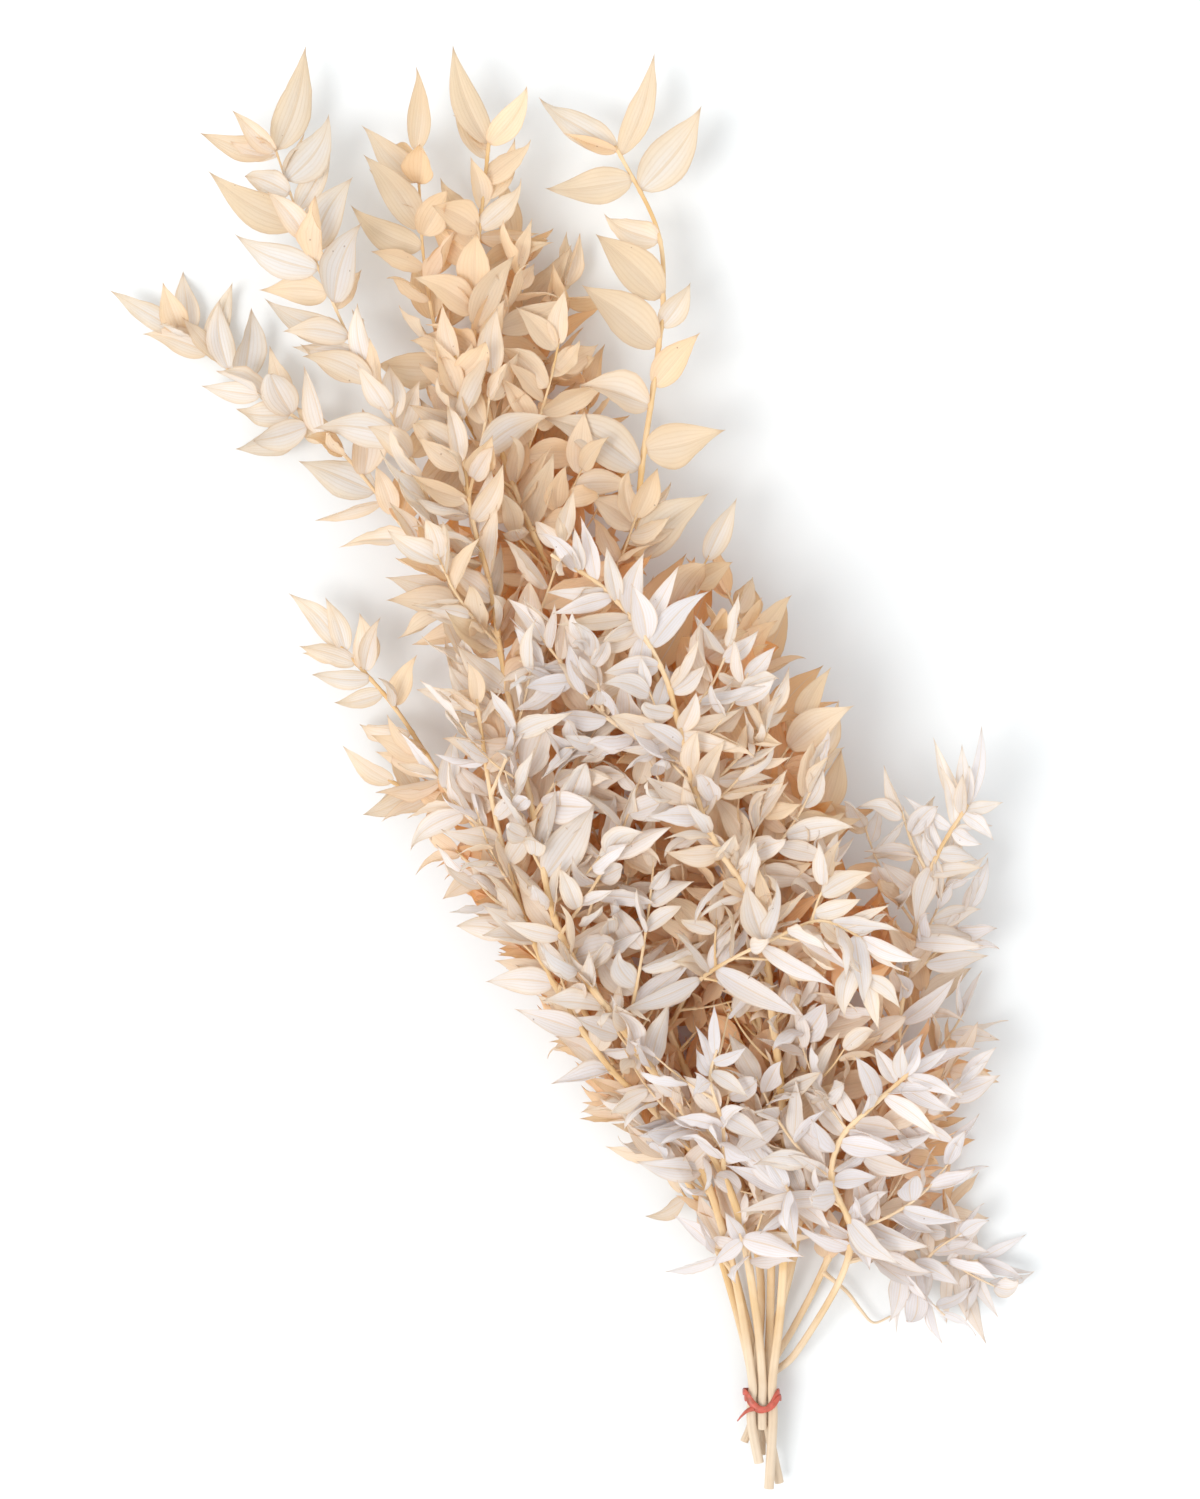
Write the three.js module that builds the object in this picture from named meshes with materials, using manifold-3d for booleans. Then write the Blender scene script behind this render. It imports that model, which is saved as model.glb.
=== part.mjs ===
// A tied bunch of ten dried ruscus stems lying on a surface, in millimetres, +Z up.
// Each leafy stem is one node: its woody axis, side branches and leaves are fused in one solid.
// A flat rubber band holds the bare lower ends together.
// +Y points from the cut ends to the tips, and +X to the right of the bunch seen from above.

import * as THREE from "three";
import Module from "manifold-3d";

const wasm = await Module();
wasm.setup();

// Driving dimensions.
const CLEARANCE = 0.3; // least gap between two nodes
const LEAF_THICKNESS = 0.7;
// Where a blade's solid has corners: a share of its length, and of its greatest width there.
const LEAF_STATIONS = { near: { along: 0.3, wide: 0.97 }, far: { along: 0.6, wide: 0.78 } };
const STEM_SIDES = 5;
const TWIG_SIDES = 3;
const STEM_SAMPLES = 2; // straight runs between two points of a long path
const TWIG_SAMPLES = 1;
const SPRAY_RADIUS = 1.4;
const TWIG_RADIUS = 1.1;
const TWIG_TIP_RADIUS = 0.65;
const STEM_TAPER = 1.6; // a stem keeps its thickness at first; 1 would be an even taper
const TWIG_TURNS = [1.15, 0.9, 0.65]; // the share of its heading that each third of a twig has
const TWIG_CLIMBS = [0.5, 0.33, 0.17]; // the share of its rise that each third makes
const TERMINAL_ROOT = 3; // how far a last leaf starts inside its twig

// The bundle at the tie: rows of two, three, two and three stems, packed like a honeycomb.
const TIE = { x: 75, y: -301, halfRun: 11 };
const BUNDLE_STEM_RADIUS = 2.25;
const BUNDLE_PITCH = 4.85;
// The band's two turns cross at a slant, and its loose part over the top sags to the cut ends.
const BAND = {
  thickness: 1, width: 3.2, turnStep: 0.45, cross: 0.16, cornerSteps: 2, gap: 0.6, sag: 4,
};
const BAND_END = {
  path: [[71, -304.4, 20.6], [68, -305.4, 20], [65.4, -308.2, 16.5], [63.9, -310.6, 12.5]],
  radius: [0.9, 0.8],
  sides: 4,
};
const BUNDLE_LOW = BUNDLE_STEM_RADIUS + BAND.gap + BAND.thickness + BAND.turnStep;
const BUNDLE_ROW = BUNDLE_PITCH * Math.sqrt(0.75);
const BUNDLE_CORNERS = [[-0.5, 0], [0.5, 0], [1, 1], [1, 3], [-1, 3], [-1, 1]];

// Kinds of leaf: size in mm, gap between leaves along the stem, and angles in degrees.
const BROAD = { length: 46, width: 19, pitch: 15, angle: 42, lift: 14, roll: 18 };
const MIDDLE = { length: 38, width: 15, pitch: 12, angle: 44, lift: 34, roll: 34 };
const SLIM = { length: 34, width: 12, pitch: 11, angle: 44, lift: 40, roll: 40 };
const SLIM_BELOW = -60; // below this height on the Y axis every grown leaf is slim
const SOLID_LEAVES = { of: 7, which: [0, 3] }; // the grown leaves that have solids, besides the last one

// How a blade is bent, in radians, and the share of the leaves that curl more than the others.
const FORM = {
  curl: 0.12, curlSpread: 0.1, curled: 0.3, moreCurl: 0.5, lessCurl: 0.15,
  twistSpread: 0.35, fold: 0.16, foldSpread: 0.14,
};
// How far a placed leaf lifts, as a share of its reach, and how far it rolls, in degrees.
const PLACED = { lift: 0.25, roll: 14 };
// Grown leaves: shares, apart from angles in degrees and lengths along the twig in mm.
const GROWTH = {
  tipSize: 0.74, fullSizeAt: 50, sizeSpread: 0.14, widthSpread: 0.1, pitchSpread: 0.25,
  angleSpread: 9, terminalAngle: 3.5, facing: 0.6, bareRoot: 4, belowPlaced: 0.7,
};
// Steps between the seeds of stems, of their axes and of the leaves on them.
const SEEDS = { stem: 100003, axis: 1009, placed: 17, grown: 31, firstGrown: 7, facing: 5 };

// What a leaf may turn by to find a clear place, in degrees, and how often it tries.
const TRIES = 14;
const SEEK = { yaw: 38, pitch: 46, roll: 60, shrink: 0.2 };
const SEEK_PLACED = { yaw: 12, pitch: 30, roll: 45, shrink: 0.08 };

// Each stem: its place in the bundle [column, row], its cut end, then its path to the tip.
// A spray is a long side branch that leaves the stem at the height "at" on the Y axis.
// A twig is [y where it leaves, heading clockwise from +Y in degrees, length, rise].
// A placed leaf is [base x, base y, tip x, tip y, width], seen from above.
const STEMS = [
  {
    slot: [-1, 3],
    cut: [73.6, -330, 14.5],
    path: [
      [62, -242, 21], [46, -191, 34], [26, -167, 42], [0, -140, 48],
      [-29, -91, 56], [-47, -33, 66], [-56, 23, 78],
    ],
    radius: [2.25, 1.1],
    leaf: SLIM,
    leafyFrom: -196,
    twigs: [[-75, -60, 28, -8], [-40, -50, 45, -6], [-110, 20, 70, 20], [-20, 20, 60, 24]],
    sprays: [
      {
        at: -242,
        path: [[54, -232, 27], [50, -227, 30]],
        leaf: SLIM,
        placed: [[50, -227, 33, -215, 7], [52, -229, 39, -207, 5]],
      },
    ],
  },
  {
    slot: [0, 3],
    cut: [75, -314, 16.7],
    path: [
      [72, -260, 20], [63, -212, 34], [46, -177, 46], [12, -130, 60], [-18, -84, 68],
      [-30, -30, 72], [-43, 32, 70], [-50, 75, 66], [-60, 115, 60], [-66, 180, 50],
    ],
    radius: [2.15, 1.1],
    leaf: MIDDLE,
    leafyFrom: -186,
    twigs: [
      [-130, 10, 80, 14], [-84, 30, 80, 16], [-30, 28, 70, 14], [32, 25, 70, 4],
      [-10, -40, 45, -10], [75, -15, 60, -8], [115, 12, 60, -4],
    ],
    sprays: [
      {
        at: 50,
        path: [
          [-67, 74, 62], [-80, 118, 55], [-102, 166, 47], [-118, 195, 43], [-136, 238, 36],
          [-150, 278, 30],
        ],
        leaf: MIDDLE,
        placed: [
          [-150, 279, -137, 324, 19.5], [-153, 286, -178, 303, 14], [-151, 273, -184, 285, 15],
          [-140, 240, -179, 264, 19], [-131, 220, -168, 236, 17], [-116, 188, -154, 206, 15],
          [-112, 180, -141, 184, 11], [-105, 167, -139, 181, 14], [-144, 261, -122, 291, 20],
          [-131, 229, -114, 263, 19], [-122, 205, -109, 242, 20], [-103, 177, -111, 205, 10],
          [-87, 153, -97, 177, 14],
        ],
      },
      {
        at: 44,
        path: [
          [-66, 72, 50], [-91, 103, 36], [-119, 137, 24], [-140, 153, 16], [-163, 168, 11],
          [-179, 182, 6], [-197, 195, 4],
        ],
        leaf: MIDDLE,
        placed: [
          [-198, 195, -228, 213, 12], [-196, 198, -203, 233, 16], [-191, 192, -195, 222, 13],
          [-184, 180, -212, 194, 15], [-171, 177, -177, 209, 15], [-181, 186, -157, 223, 13],
          [-157, 163, -185, 168, 12], [-140, 160, -169, 156, 14], [-141, 162, -153, 186, 15],
        ],
      },
      {
        at: -196,
        path: [[56, -172, 62], [50, -150, 74], [53, -136, 77]],
        leaf: SLIM,
        placed: [
          [53, -137, 52, -115, 6], [50, -144, 43, -125, 5], [52, -143, 67, -134, 7],
          [48, -148, 43, -136, 8], [50, -146, 67, -158, 8], [54, -165, 38, -148, 13],
          [54, -166, 76, -178, 10],
        ],
      },
      {
        at: -242,
        path: [[67, -231, 36], [64, -222, 43]],
        leaf: SLIM,
        placed: [[64, -222, 94, -233, 12], [65, -225, 50, -236, 9], [66, -227, 57, -212, 8]],
      },
    ],
  },
  {
    slot: [-0.5, 2],
    cut: [72.5, -314, 12.5],
    path: [
      [74, -240, 10], [60, -186, 17], [34, -135, 24], [20, -75, 30], [2, -10, 32],
      [-17, 45, 28], [-27, 107, 21], [-33, 170, 14], [-40, 239, 9],
    ],
    radius: [2.1, 1],
    leaf: MIDDLE,
    leafyFrom: -206,
    twigs: [
      [-75, -30, 70, 14], [-10, 35, 80, -6], [55, -25, 70, 4], [107, 25, 60, -4],
      [165, 20, 55, -4],
    ],
    sprays: [
      {
        at: -128,
        path: [[42, -109, 50], [56, -97, 76], [77, -86, 92], [99, -77, 98], [120, -86, 96]],
        leaf: SLIM,
        placed: [
          [56, -104, 95, -121, 14], [75, -93, 109, -106, 10], [87, -84, 114, -101, 9],
          [99, -78, 116, -89, 9], [104, -78, 134, -86, 8], [119, -86, 146, -95, 9],
          [115, -83, 118, -116, 12], [117, -85, 138, -105, 6], [109, -79, 131, -69, 6],
          [50, -100, 62, -79, 11], [75, -88, 66, -60, 16], [46, -104, 4, -120, 10],
        ],
      },
    ],
  },
  {
    slot: [0.5, 2],
    cut: [83.2, -340, 7.5],
    path: [
      [79, -255, 12], [79, -186, 27], [74, -130, 39], [58, -70, 48], [23, -5, 50],
      [-10, 55, 47], [-40, 122, 44], [-56, 177, 42], [-57, 219, 38], [-51, 281, 30],
    ],
    radius: [2.1, 1],
    leaf: MIDDLE,
    leafyFrom: -206,
    placed: [
      [-51, 281, -69, 324, 17], [-53, 271, -71, 304, 14], [-49, 279, -19, 300, 15],
      [-52, 252, -39, 281, 13], [-55, 240, -32, 260, 14], [-58, 240, -81, 263, 18],
    ],
    twigs: [
      [-130, -30, 80, 20], [-70, 35, 80, 10], [-5, 40, 70, 4], [-5, -35, 70, 10],
      [55, 30, 60, 4], [122, 20, 70, -2], [177, 25, 50, -6], [-170, 20, 70, 6],
    ],
    sprays: [
      {
        at: 100,
        path: [[-60, 149, 37], [-74, 186, 34], [-81, 225, 32], [-83, 256, 31], [-85, 278, 30]],
        leaf: MIDDLE,
        placed: [
          [-85, 278, -82, 315, 12.5], [-85, 260, -108, 288, 14], [-83, 238, -110, 275, 16],
        ],
      },
    ],
  },
  {
    slot: [1, 3],
    cut: [78.2, -342, 14],
    path: [
      [84, -250, 22], [85, -186, 42], [79, -125, 58], [70, -75, 66], [35, 5, 62],
      [20, 60, 53], [18, 115, 46], [25, 170, 42], [29, 208, 38], [26, 240, 34], [7, 278, 30],
    ],
    radius: [2.25, 1.2],
    leaf: BROAD,
    leafyFrom: -196,
    placed: [
      [13, 274, 25, 321, 17], [21, 258, 48, 295, 22], [8, 278, -30, 298, 16],
      [6, 277, -27, 277, 13], [15, 262, -25, 258, 19], [26, 234, 1, 244, 18],
      [26, 207, -4, 237, 21], [27, 184, -11, 212, 23], [23, 157, -10, 167, 23],
      [17, 128, -26, 153, 26], [24, 137, 58, 148, 23], [28, 165, 46, 191, 16],
      [31, 193, 42, 214, 13], [18, 102, -5, 116, 20], [21, 88, 52, 116, 22],
    ],
    twigs: [
      [5, 40, 60, -8], [55, 45, 45, -8], [-33, -35, 70, 10], [-90, 28, 70, -24], [-30, 50, 60, -6],
    ],
    sprays: [
      {
        at: -125,
        path: [[93, -93, 52], [91, -60, 46], [86, -23, 40], [77, 14, 36], [67, 51, 33], [58, 74, 30]],
        leaf: MIDDLE,
      },
    ],
  },
  {
    slot: [1, 1],
    cut: [80, -314, 8.4],
    path: [
      [91, -279, 12], [111, -244, 24], [115, -220, 36], [106, -197, 50], [110, -177, 60],
      [124, -162, 68], [141, -146, 74],
    ],
    radius: [2, 1],
    leaf: SLIM,
    placed: [
      [141, -146, 164, -158, 9], [136, -153, 163, -165, 9], [139, -147, 137, -123, 8],
      [141, -146, 143, -122, 6], [141, -146, 165, -132, 8], [140, -147, 174, -123, 9],
      [135, -152, 116, -132, 11], [126, -160, 115, -139, 10], [115, -169, 107, -150, 8],
      [110, -176, 91, -155, 12], [108, -183, 87, -170, 9], [107, -195, 84, -182, 7],
      [116, -170, 141, -171, 12], [129, -158, 155, -177, 9], [110, -180, 141, -183, 12],
      [106, -198, 129, -196, 11], [109, -206, 58, -211, 9], [113, -216, 139, -236, 14],
      [114, -222, 123, -240, 11],
    ],
    twigs: [
      [-221, 60, 60, 4], [-197, -40, 60, 10], [-172, 75, 60, -14], [-205, -75, 45, 2],
    ],
    sprays: [
      {
        at: -236,
        path: [[130, -234, 20], [149, -238, 11], [165, -238, 7], [178, -237, 5]],
        leaf: SLIM,
        placed: [
          [178, -237, 198, -225, 6], [178, -237, 209, -252, 7], [176, -237, 201, -257, 8],
          [171, -238, 186, -264, 8], [165, -238, 181, -276, 10], [162, -238, 161, -267, 6],
          [150, -238, 147, -262, 12], [142, -237, 137, -270, 6], [144, -237, 149, -267, 8],
          [171, -238, 170, -208, 8], [166, -238, 160, -203, 7], [160, -238, 180, -217, 5],
          [151, -238, 153, -216, 7], [147, -237, 131, -224, 9],
        ],
      },
    ],
  },
  {
    slot: [0.5, 0],
    cut: [77.8, -320, 4.2],
    path: [
      [90, -268, 6], [103, -242, 9], [120, -200, 15], [134, -155, 23], [140, -107, 35],
      [145, -80, 42], [153, -51, 48], [168, -25, 54],
    ],
    radius: [1.9, 1],
    leaf: SLIM,
    placed: [
      [169, -24, 174, 14, 7], [169, -24, 177, 2, 6], [167, -26, 163, 3, 7],
      [165, -28, 153, 6, 7], [161, -34, 154, -5, 7], [160, -36, 139, -21, 7],
      [169, -25, 190, -19, 8], [166, -29, 180, -41, 8], [161, -37, 177, -48, 8],
      [155, -48, 173, -50, 9], [152, -51, 148, -36, 8], [152, -53, 144, -82, 12],
      [154, -50, 152, -77, 10], [155, -48, 172, -65, 7], [150, -58, 139, -25, 7],
      [144, -84, 176, -86, 11], [143, -88, 178, -90, 9],
    ],
    twigs: [
      [-200, 55, 50, -4], [-155, 50, 50, -4], [-105, 45, 45, -4], [-105, -40, 50, -6],
      [-58, -25, 35, 2], [-228, 80, 60, -2],
    ],
    sprays: [
      {
        at: -242,
        path: [[114, -251, 8], [121, -260, 7], [127, -266, 6], [135, -263, 6]],
        leaf: SLIM,
        bareTo: -240,
      },
    ],
  },
  {
    slot: [0, 1],
    cut: [74.9, -327, 8],
    path: [
      [83, -262, 7], [90, -232, 14], [95, -186, 30], [93, -140, 50], [86, -98, 66],
      [67, -65, 80], [48, -34, 91], [36, 8, 99], [30, 31, 100], [17, 55, 98], [0, 74, 93],
      [-22, 88, 86],
    ],
    radius: [2, 1],
    leaf: SLIM,
    placed: [
      [-8, 82, -12, 101, 7], [-1, 76, -9, 106, 10], [-2, 74, -31, 78, 7], [2, 70, -26, 72, 7],
      [4, 67, -22, 60, 10], [13, 58, -21, 56, 10], [16, 50, -13, 46, 10], [16, 60, 32, 86, 11],
      [21, 54, 36, 83, 9], [25, 47, 50, 72, 13], [19, 50, 14, 22, 12], [31, 26, 48, 38, 10],
      [32, 16, 4, 15, 7], [34, 7, 8, 0, 9], [36, 8, 64, 19, 8], [38, 7, 64, 2, 10],
    ],
    twigs: [
      [-140, 15, 75, -10], [-186, 55, 60, 6], [10, 35, 45, -8], [-60, 40, 60, -6],
      [-20, 45, 50, -8],
    ],
    sprays: [
      { at: -8, path: [[9, 10, 95], [-5, 23, 92], [-19, 41, 90], [-27, 51, 88]], leaf: SLIM },
      { at: -98, path: [[81, -70, 66], [75, -46, 62], [77, -19, 58], [76, -2, 55]], leaf: SLIM },
      {
        at: -212,
        path: [[88, -206, 44], [85, -199, 56]],
        leaf: SLIM,
        placed: [
          [85, -199, 62, -167, 15], [86, -201, 64, -182, 10], [87, -203, 57, -190, 9],
          [86, -202, 88, -229, 9], [88, -206, 106, -221, 10], [88, -206, 106, -233, 8],
        ],
      },
    ],
  },
  {
    slot: [-1, 1],
    cut: [66.9, -321, 8],
    path: [
      [62, -256, 10], [49, -216, 15], [32, -186, 20], [5, -143, 27], [-19, -98, 30],
      [-42, -58, 32], [-73, -13, 32], [-95, 20, 30], [-121, 49, 26],
    ],
    radius: [1.9, 0.9],
    leaf: SLIM,
    leafyFrom: -190,
    placed: [
      [-123, 50, -144, 72, 12], [-116, 46, -125, 71, 11], [-106, 39, -111, 63, 13],
      [-112, 40, -140, 46, 11], [-107, 31, -136, 36, 11], [-92, 23, -85, 44, 13],
      [-80, -5, -105, 8, 12],
    ],
    twigs: [[-172, -60, 24, -5], [-98, -60, 32, -6], [-214, -50, 16, -2], [-58, -70, 30, -6]],
  },
  {
    slot: [-0.5, 0],
    cut: [72.3, -316, 4.3],
    path: [
      [69, -268, 4.5], [52, -209, 8], [32, -177, 11], [9, -144, 13], [-16, -105, 14],
      [-44, -47, 16], [-65, -30, 18], [-98, -14, 21],
    ],
    radius: [1.9, 0.9],
    leaf: SLIM,
    leafyFrom: -190,
    placed: [[-98, -15, -119, 2, 12], [-86, -19, -111, -31, 11]],
    twigs: [[-196, -50, 18, -2], [-144, -65, 26, -4], [-112, -60, 26, -4]],
  },
];
const LEAFY_FROM = -236; // leaves grow above this height on the Y axis, if a stem doesn't say

// ---- Drawing numbers and paths ----

// A seeded draw of numbers from 0 to 1, the same each time.
function seededDraw(seed) {
  let state = seed >>> 0;
  return () => {
    state = (state + 0x6d2b79f5) >>> 0;
    let mixed = Math.imul(state ^ (state >>> 15), state | 1);
    mixed ^= mixed + Math.imul(mixed ^ (mixed >>> 7), mixed | 61);
    return ((mixed ^ (mixed >>> 14)) >>> 0) / 4294967296;
  };
}

function vary(draw, spread) {
  return spread * (2 * draw() - 1);
}

function vector([x, y, z]) {
  return new THREE.Vector3(x, y, z);
}

// The smooth curve through the points, cut into short straight runs.
function smoothPath(points, samples) {
  const curve = new THREE.CatmullRomCurve3(points, false, "catmullrom", 0.5);
  return curve.getPoints((points.length - 1) * samples);
}

// The point and direction at a distance back from the end of a path.
function fromTip(path, distance) {
  let left = distance;
  for (let i = path.length - 1; i > 0; i -= 1) {
    const run = path[i].distanceTo(path[i - 1]);
    if (left <= run || i === 1) {
      const along = path[i].clone().sub(path[i - 1]).normalize();
      const point = path[i].clone().addScaledVector(along, -Math.min(left, run));
      return { point, along };
    }
    left -= run;
  }
  return null;
}

function pathLength(path) {
  return path.slice(1).reduce((sum, point, i) => sum + point.distanceTo(path[i]), 0);
}

// The place on a path nearest to a point seen from above, as a distance back from its tip.
function nearestOnPath(path, x, y) {
  const step = 1;
  let best = { gap: Infinity, distance: 0 };
  for (let distance = 0; distance <= pathLength(path); distance += step) {
    const { point } = fromTip(path, distance);
    const gap = Math.hypot(point.x - x, point.y - y);
    if (gap < best.gap) best = { gap, distance };
  }
  return best.distance;
}

// The first place above the tie where a path reaches a height on the Y axis.
function placeAtHeight(path, y) {
  for (let i = 1; i < path.length; i += 1) {
    const [low, high] = [path[i - 1], path[i]];
    if (low.y <= y && high.y > y) return low.clone().lerp(high, (y - low.y) / (high.y - low.y));
  }
  return path[path.length - 1].clone();
}

// ---- The woody axes ----

function bundlePoint([column, row], alongY) {
  const x = TIE.x + column * BUNDLE_PITCH;
  return new THREE.Vector3(x, TIE.y + alongY, BUNDLE_LOW + row * BUNDLE_ROW);
}

function mainPath(stem) {
  const bundle = [-TIE.halfRun, 0, TIE.halfRun].map((run) => bundlePoint(stem.slot, run));
  return smoothPath([vector(stem.cut), ...bundle, ...stem.path.map(vector)], STEM_SAMPLES);
}

// A short side twig leaves its stem sideways and bends back towards the tips.
function twigPath(main, [y, heading, length, rise]) {
  const points = [placeAtHeight(main, y)];
  TWIG_TURNS.forEach((share, i) => {
    const turn = THREE.MathUtils.degToRad(heading * share);
    const step = new THREE.Vector3(Math.sin(turn), Math.cos(turn), 0);
    const next = points[i].clone().addScaledVector(step, length / TWIG_TURNS.length);
    next.z += rise * TWIG_CLIMBS[i];
    points.push(next);
  });
  return smoothPath(points, TWIG_SAMPLES);
}

// Every axis of a stem: the main one first, then its sprays and its twigs.
function axesOf(stem) {
  const main = mainPath(stem);
  const sprays = (stem.sprays ?? []).map((spray) => ({
    ...spray,
    path: smoothPath([placeAtHeight(main, spray.at), ...spray.path.map(vector)], TWIG_SAMPLES),
    radius: [SPRAY_RADIUS, TWIG_TIP_RADIUS],
    sides: TWIG_SIDES,
    taper: 1,
  }));
  const twigs = (stem.twigs ?? []).map((twig) => ({
    path: twigPath(main, twig),
    radius: [TWIG_RADIUS, TWIG_TIP_RADIUS],
    sides: TWIG_SIDES,
    taper: 1,
    leaf: stem.leaf,
  }));
  const bareTo = stem.leafyFrom ?? LEAFY_FROM;
  const axis = { ...stem, path: main, sides: STEM_SIDES, taper: STEM_TAPER, bareTo };
  return [axis, ...sprays, ...twigs];
}

// A closed tapered rod along a path.
function taperedRod(path, [startRadius, endRadius], sides, taper) {
  const frames = [];
  let side = new THREE.Vector3(0, 0, 1);
  path.forEach((point, i) => {
    const ahead = path[Math.min(i + 1, path.length - 1)];
    const behind = path[Math.max(i - 1, 0)];
    const along = ahead.clone().sub(behind).normalize();
    side = side.clone().addScaledVector(along, -side.dot(along)).normalize();
    frames.push({ point, side, across: along.clone().cross(side) });
  });
  const positions = [];
  frames.forEach(({ point, side: out, across }, i) => {
    const share = (i / (frames.length - 1)) ** taper;
    const radius = THREE.MathUtils.lerp(startRadius, endRadius, share);
    for (let k = 0; k < sides; k += 1) {
      const angle = (2 * Math.PI * (k + 0.5)) / sides;
      const corner = point.clone()
        .addScaledVector(out, radius * Math.cos(angle))
        .addScaledVector(across, radius * Math.sin(angle));
      positions.push(...corner.toArray());
    }
  });
  const faces = [];
  for (let i = 0; i + 1 < frames.length; i += 1) {
    for (let k = 0; k < sides; k += 1) {
      const a = i * sides + k;
      const b = i * sides + ((k + 1) % sides);
      faces.push(a, b, b + sides, a, b + sides, a + sides);
    }
  }
  const last = (frames.length - 1) * sides;
  for (let k = 1; k + 1 < sides; k += 1) {
    faces.push(0, k + 1, k, last, last + k, last + k + 1);
  }
  return { positions, faces };
}

// ---- The leaves ----

// A point of a leaf: u runs from base to tip, v from edge to edge, and off is out of its face.
function leafPoint(leaf, u, v, halfWidth, off) {
  const bend = leaf.curl * u;
  const radius = leaf.length / leaf.curl;
  const up = leaf.up.clone().multiplyScalar(Math.cos(bend)).addScaledVector(leaf.along, -Math.sin(bend));
  const turn = leaf.twist * u;
  const across = leaf.across.clone().multiplyScalar(Math.cos(turn)).addScaledVector(up, Math.sin(turn));
  const normal = up.clone().multiplyScalar(Math.cos(turn)).addScaledVector(leaf.across, -Math.sin(turn));
  return leaf.base.clone()
    .addScaledVector(leaf.along, radius * Math.sin(bend))
    .addScaledVector(leaf.up, radius * (1 - Math.cos(bend)))
    .addScaledVector(across, v * halfWidth * Math.cos(leaf.fold))
    .addScaledVector(normal, Math.abs(v) * halfWidth * Math.sin(leaf.fold) + off);
}

// A blade as a closed solid, split into triangles alike on both faces.
function leafBlade(leaf) {
  const half = LEAF_THICKNESS / 2;
  const positions = [];
  const put = (u, v, part, off) => {
    positions.push(...leafPoint(leaf, u, v, (part * leaf.width) / 2, off).toArray());
    return positions.length / 3 - 1;
  };
  const base = put(0, 0, 0, 0);
  const tip = put(1, 0, 0, 0);
  const pair = (u, v, part) => [put(u, v, part, half), put(u, v, part, -half)];
  const { near, far } = LEAF_STATIONS;
  const left = pair(near.along, -1, near.wide);
  const right = pair(near.along, 1, near.wide);
  const farLeft = pair(far.along, -1, far.wide);
  const farMiddle = pair(far.along, 0, far.wide);
  const farRight = pair(far.along, 1, far.wide);
  const faces = [];
  const ends = [[base, base], [tip, tip]];
  const [root, point] = ends;
  const both = (a, b, c) => faces.push(a[0], b[0], c[0], a[1], c[1], b[1]);
  both(root, left, right);
  both(left, farLeft, farMiddle);
  both(left, farMiddle, right);
  both(right, farMiddle, farRight);
  both(farLeft, point, farMiddle);
  both(farMiddle, point, farRight);
  const edge = [root, left, farLeft, point, farRight, right];
  edge.forEach((a, i) => {
    const b = edge[(i + 1) % edge.length];
    if (a[0] !== a[1]) faces.push(b[0], a[0], a[1]);
    if (b[0] !== b[1]) faces.push(b[0], a[1], b[1]);
  });
  return { positions, faces };
}

// A leaf before it is turned to a clear place: its root, direction and upper side.
function leafOnStem(base, along, upper, size, draw) {
  return {
    base,
    along: along.normalize(),
    upper,
    length: size.length,
    width: size.width,
    curl: FORM.curl + vary(draw, FORM.curlSpread)
      + (draw() < FORM.curled ? FORM.moreCurl : FORM.lessCurl) * draw(),
    twist: vary(draw, FORM.twistSpread),
    fold: FORM.fold + vary(draw, FORM.foldSpread),
  };
}

// The leaf in its try number k: each try may turn further from where it grows best.
function turnedLeaf(leaf, seek, k, draw) {
  const reach = k / TRIES;
  const yaw = THREE.MathUtils.degToRad(vary(draw, seek.yaw) * reach);
  const pitch = THREE.MathUtils.degToRad(vary(draw, seek.pitch) * reach);
  const roll = THREE.MathUtils.degToRad(vary(draw, seek.roll) * reach + leaf.roll);
  const size = 1 - seek.shrink * reach * draw();
  const across = leaf.upper.clone().cross(leaf.along).normalize();
  const up = leaf.along.clone().cross(across);
  const along = leaf.along.clone().multiplyScalar(Math.cos(yaw) * Math.cos(pitch))
    .addScaledVector(across, Math.sin(yaw) * Math.cos(pitch))
    .addScaledVector(up, Math.sin(pitch));
  const side = up.clone().cross(along).normalize();
  const top = along.clone().cross(side);
  return {
    ...leaf,
    along,
    across: side.clone().multiplyScalar(Math.cos(roll)).addScaledVector(top, Math.sin(roll)),
    up: top.clone().multiplyScalar(Math.cos(roll)).addScaledVector(side, -Math.sin(roll)),
    length: leaf.length * size,
    width: leaf.width * size,
  };
}

// The leaves whose place is known from above.
function placedLeaves(axis, seed) {
  return (axis.placed ?? []).map(([baseX, baseY, tipX, tipY, width], i) => {
    const draw = seededDraw(seed + SEEDS.placed * i);
    const distance = Math.max(TERMINAL_ROOT, nearestOnPath(axis.path, baseX, baseY));
    const root = fromTip(axis.path, distance);
    const reach = Math.hypot(tipX - root.point.x, tipY - root.point.y);
    const lift = vary(draw, PLACED.lift);
    const along = new THREE.Vector3(tipX - root.point.x, tipY - root.point.y, reach * lift);
    const size = { length: along.length(), width };
    const leaf = leafOnStem(root.point, along, new THREE.Vector3(0, 0, 1), size, draw);
    return { ...leaf, roll: vary(draw, PLACED.roll), seek: SEEK_PLACED, draw, solid: true };
  });
}

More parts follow.
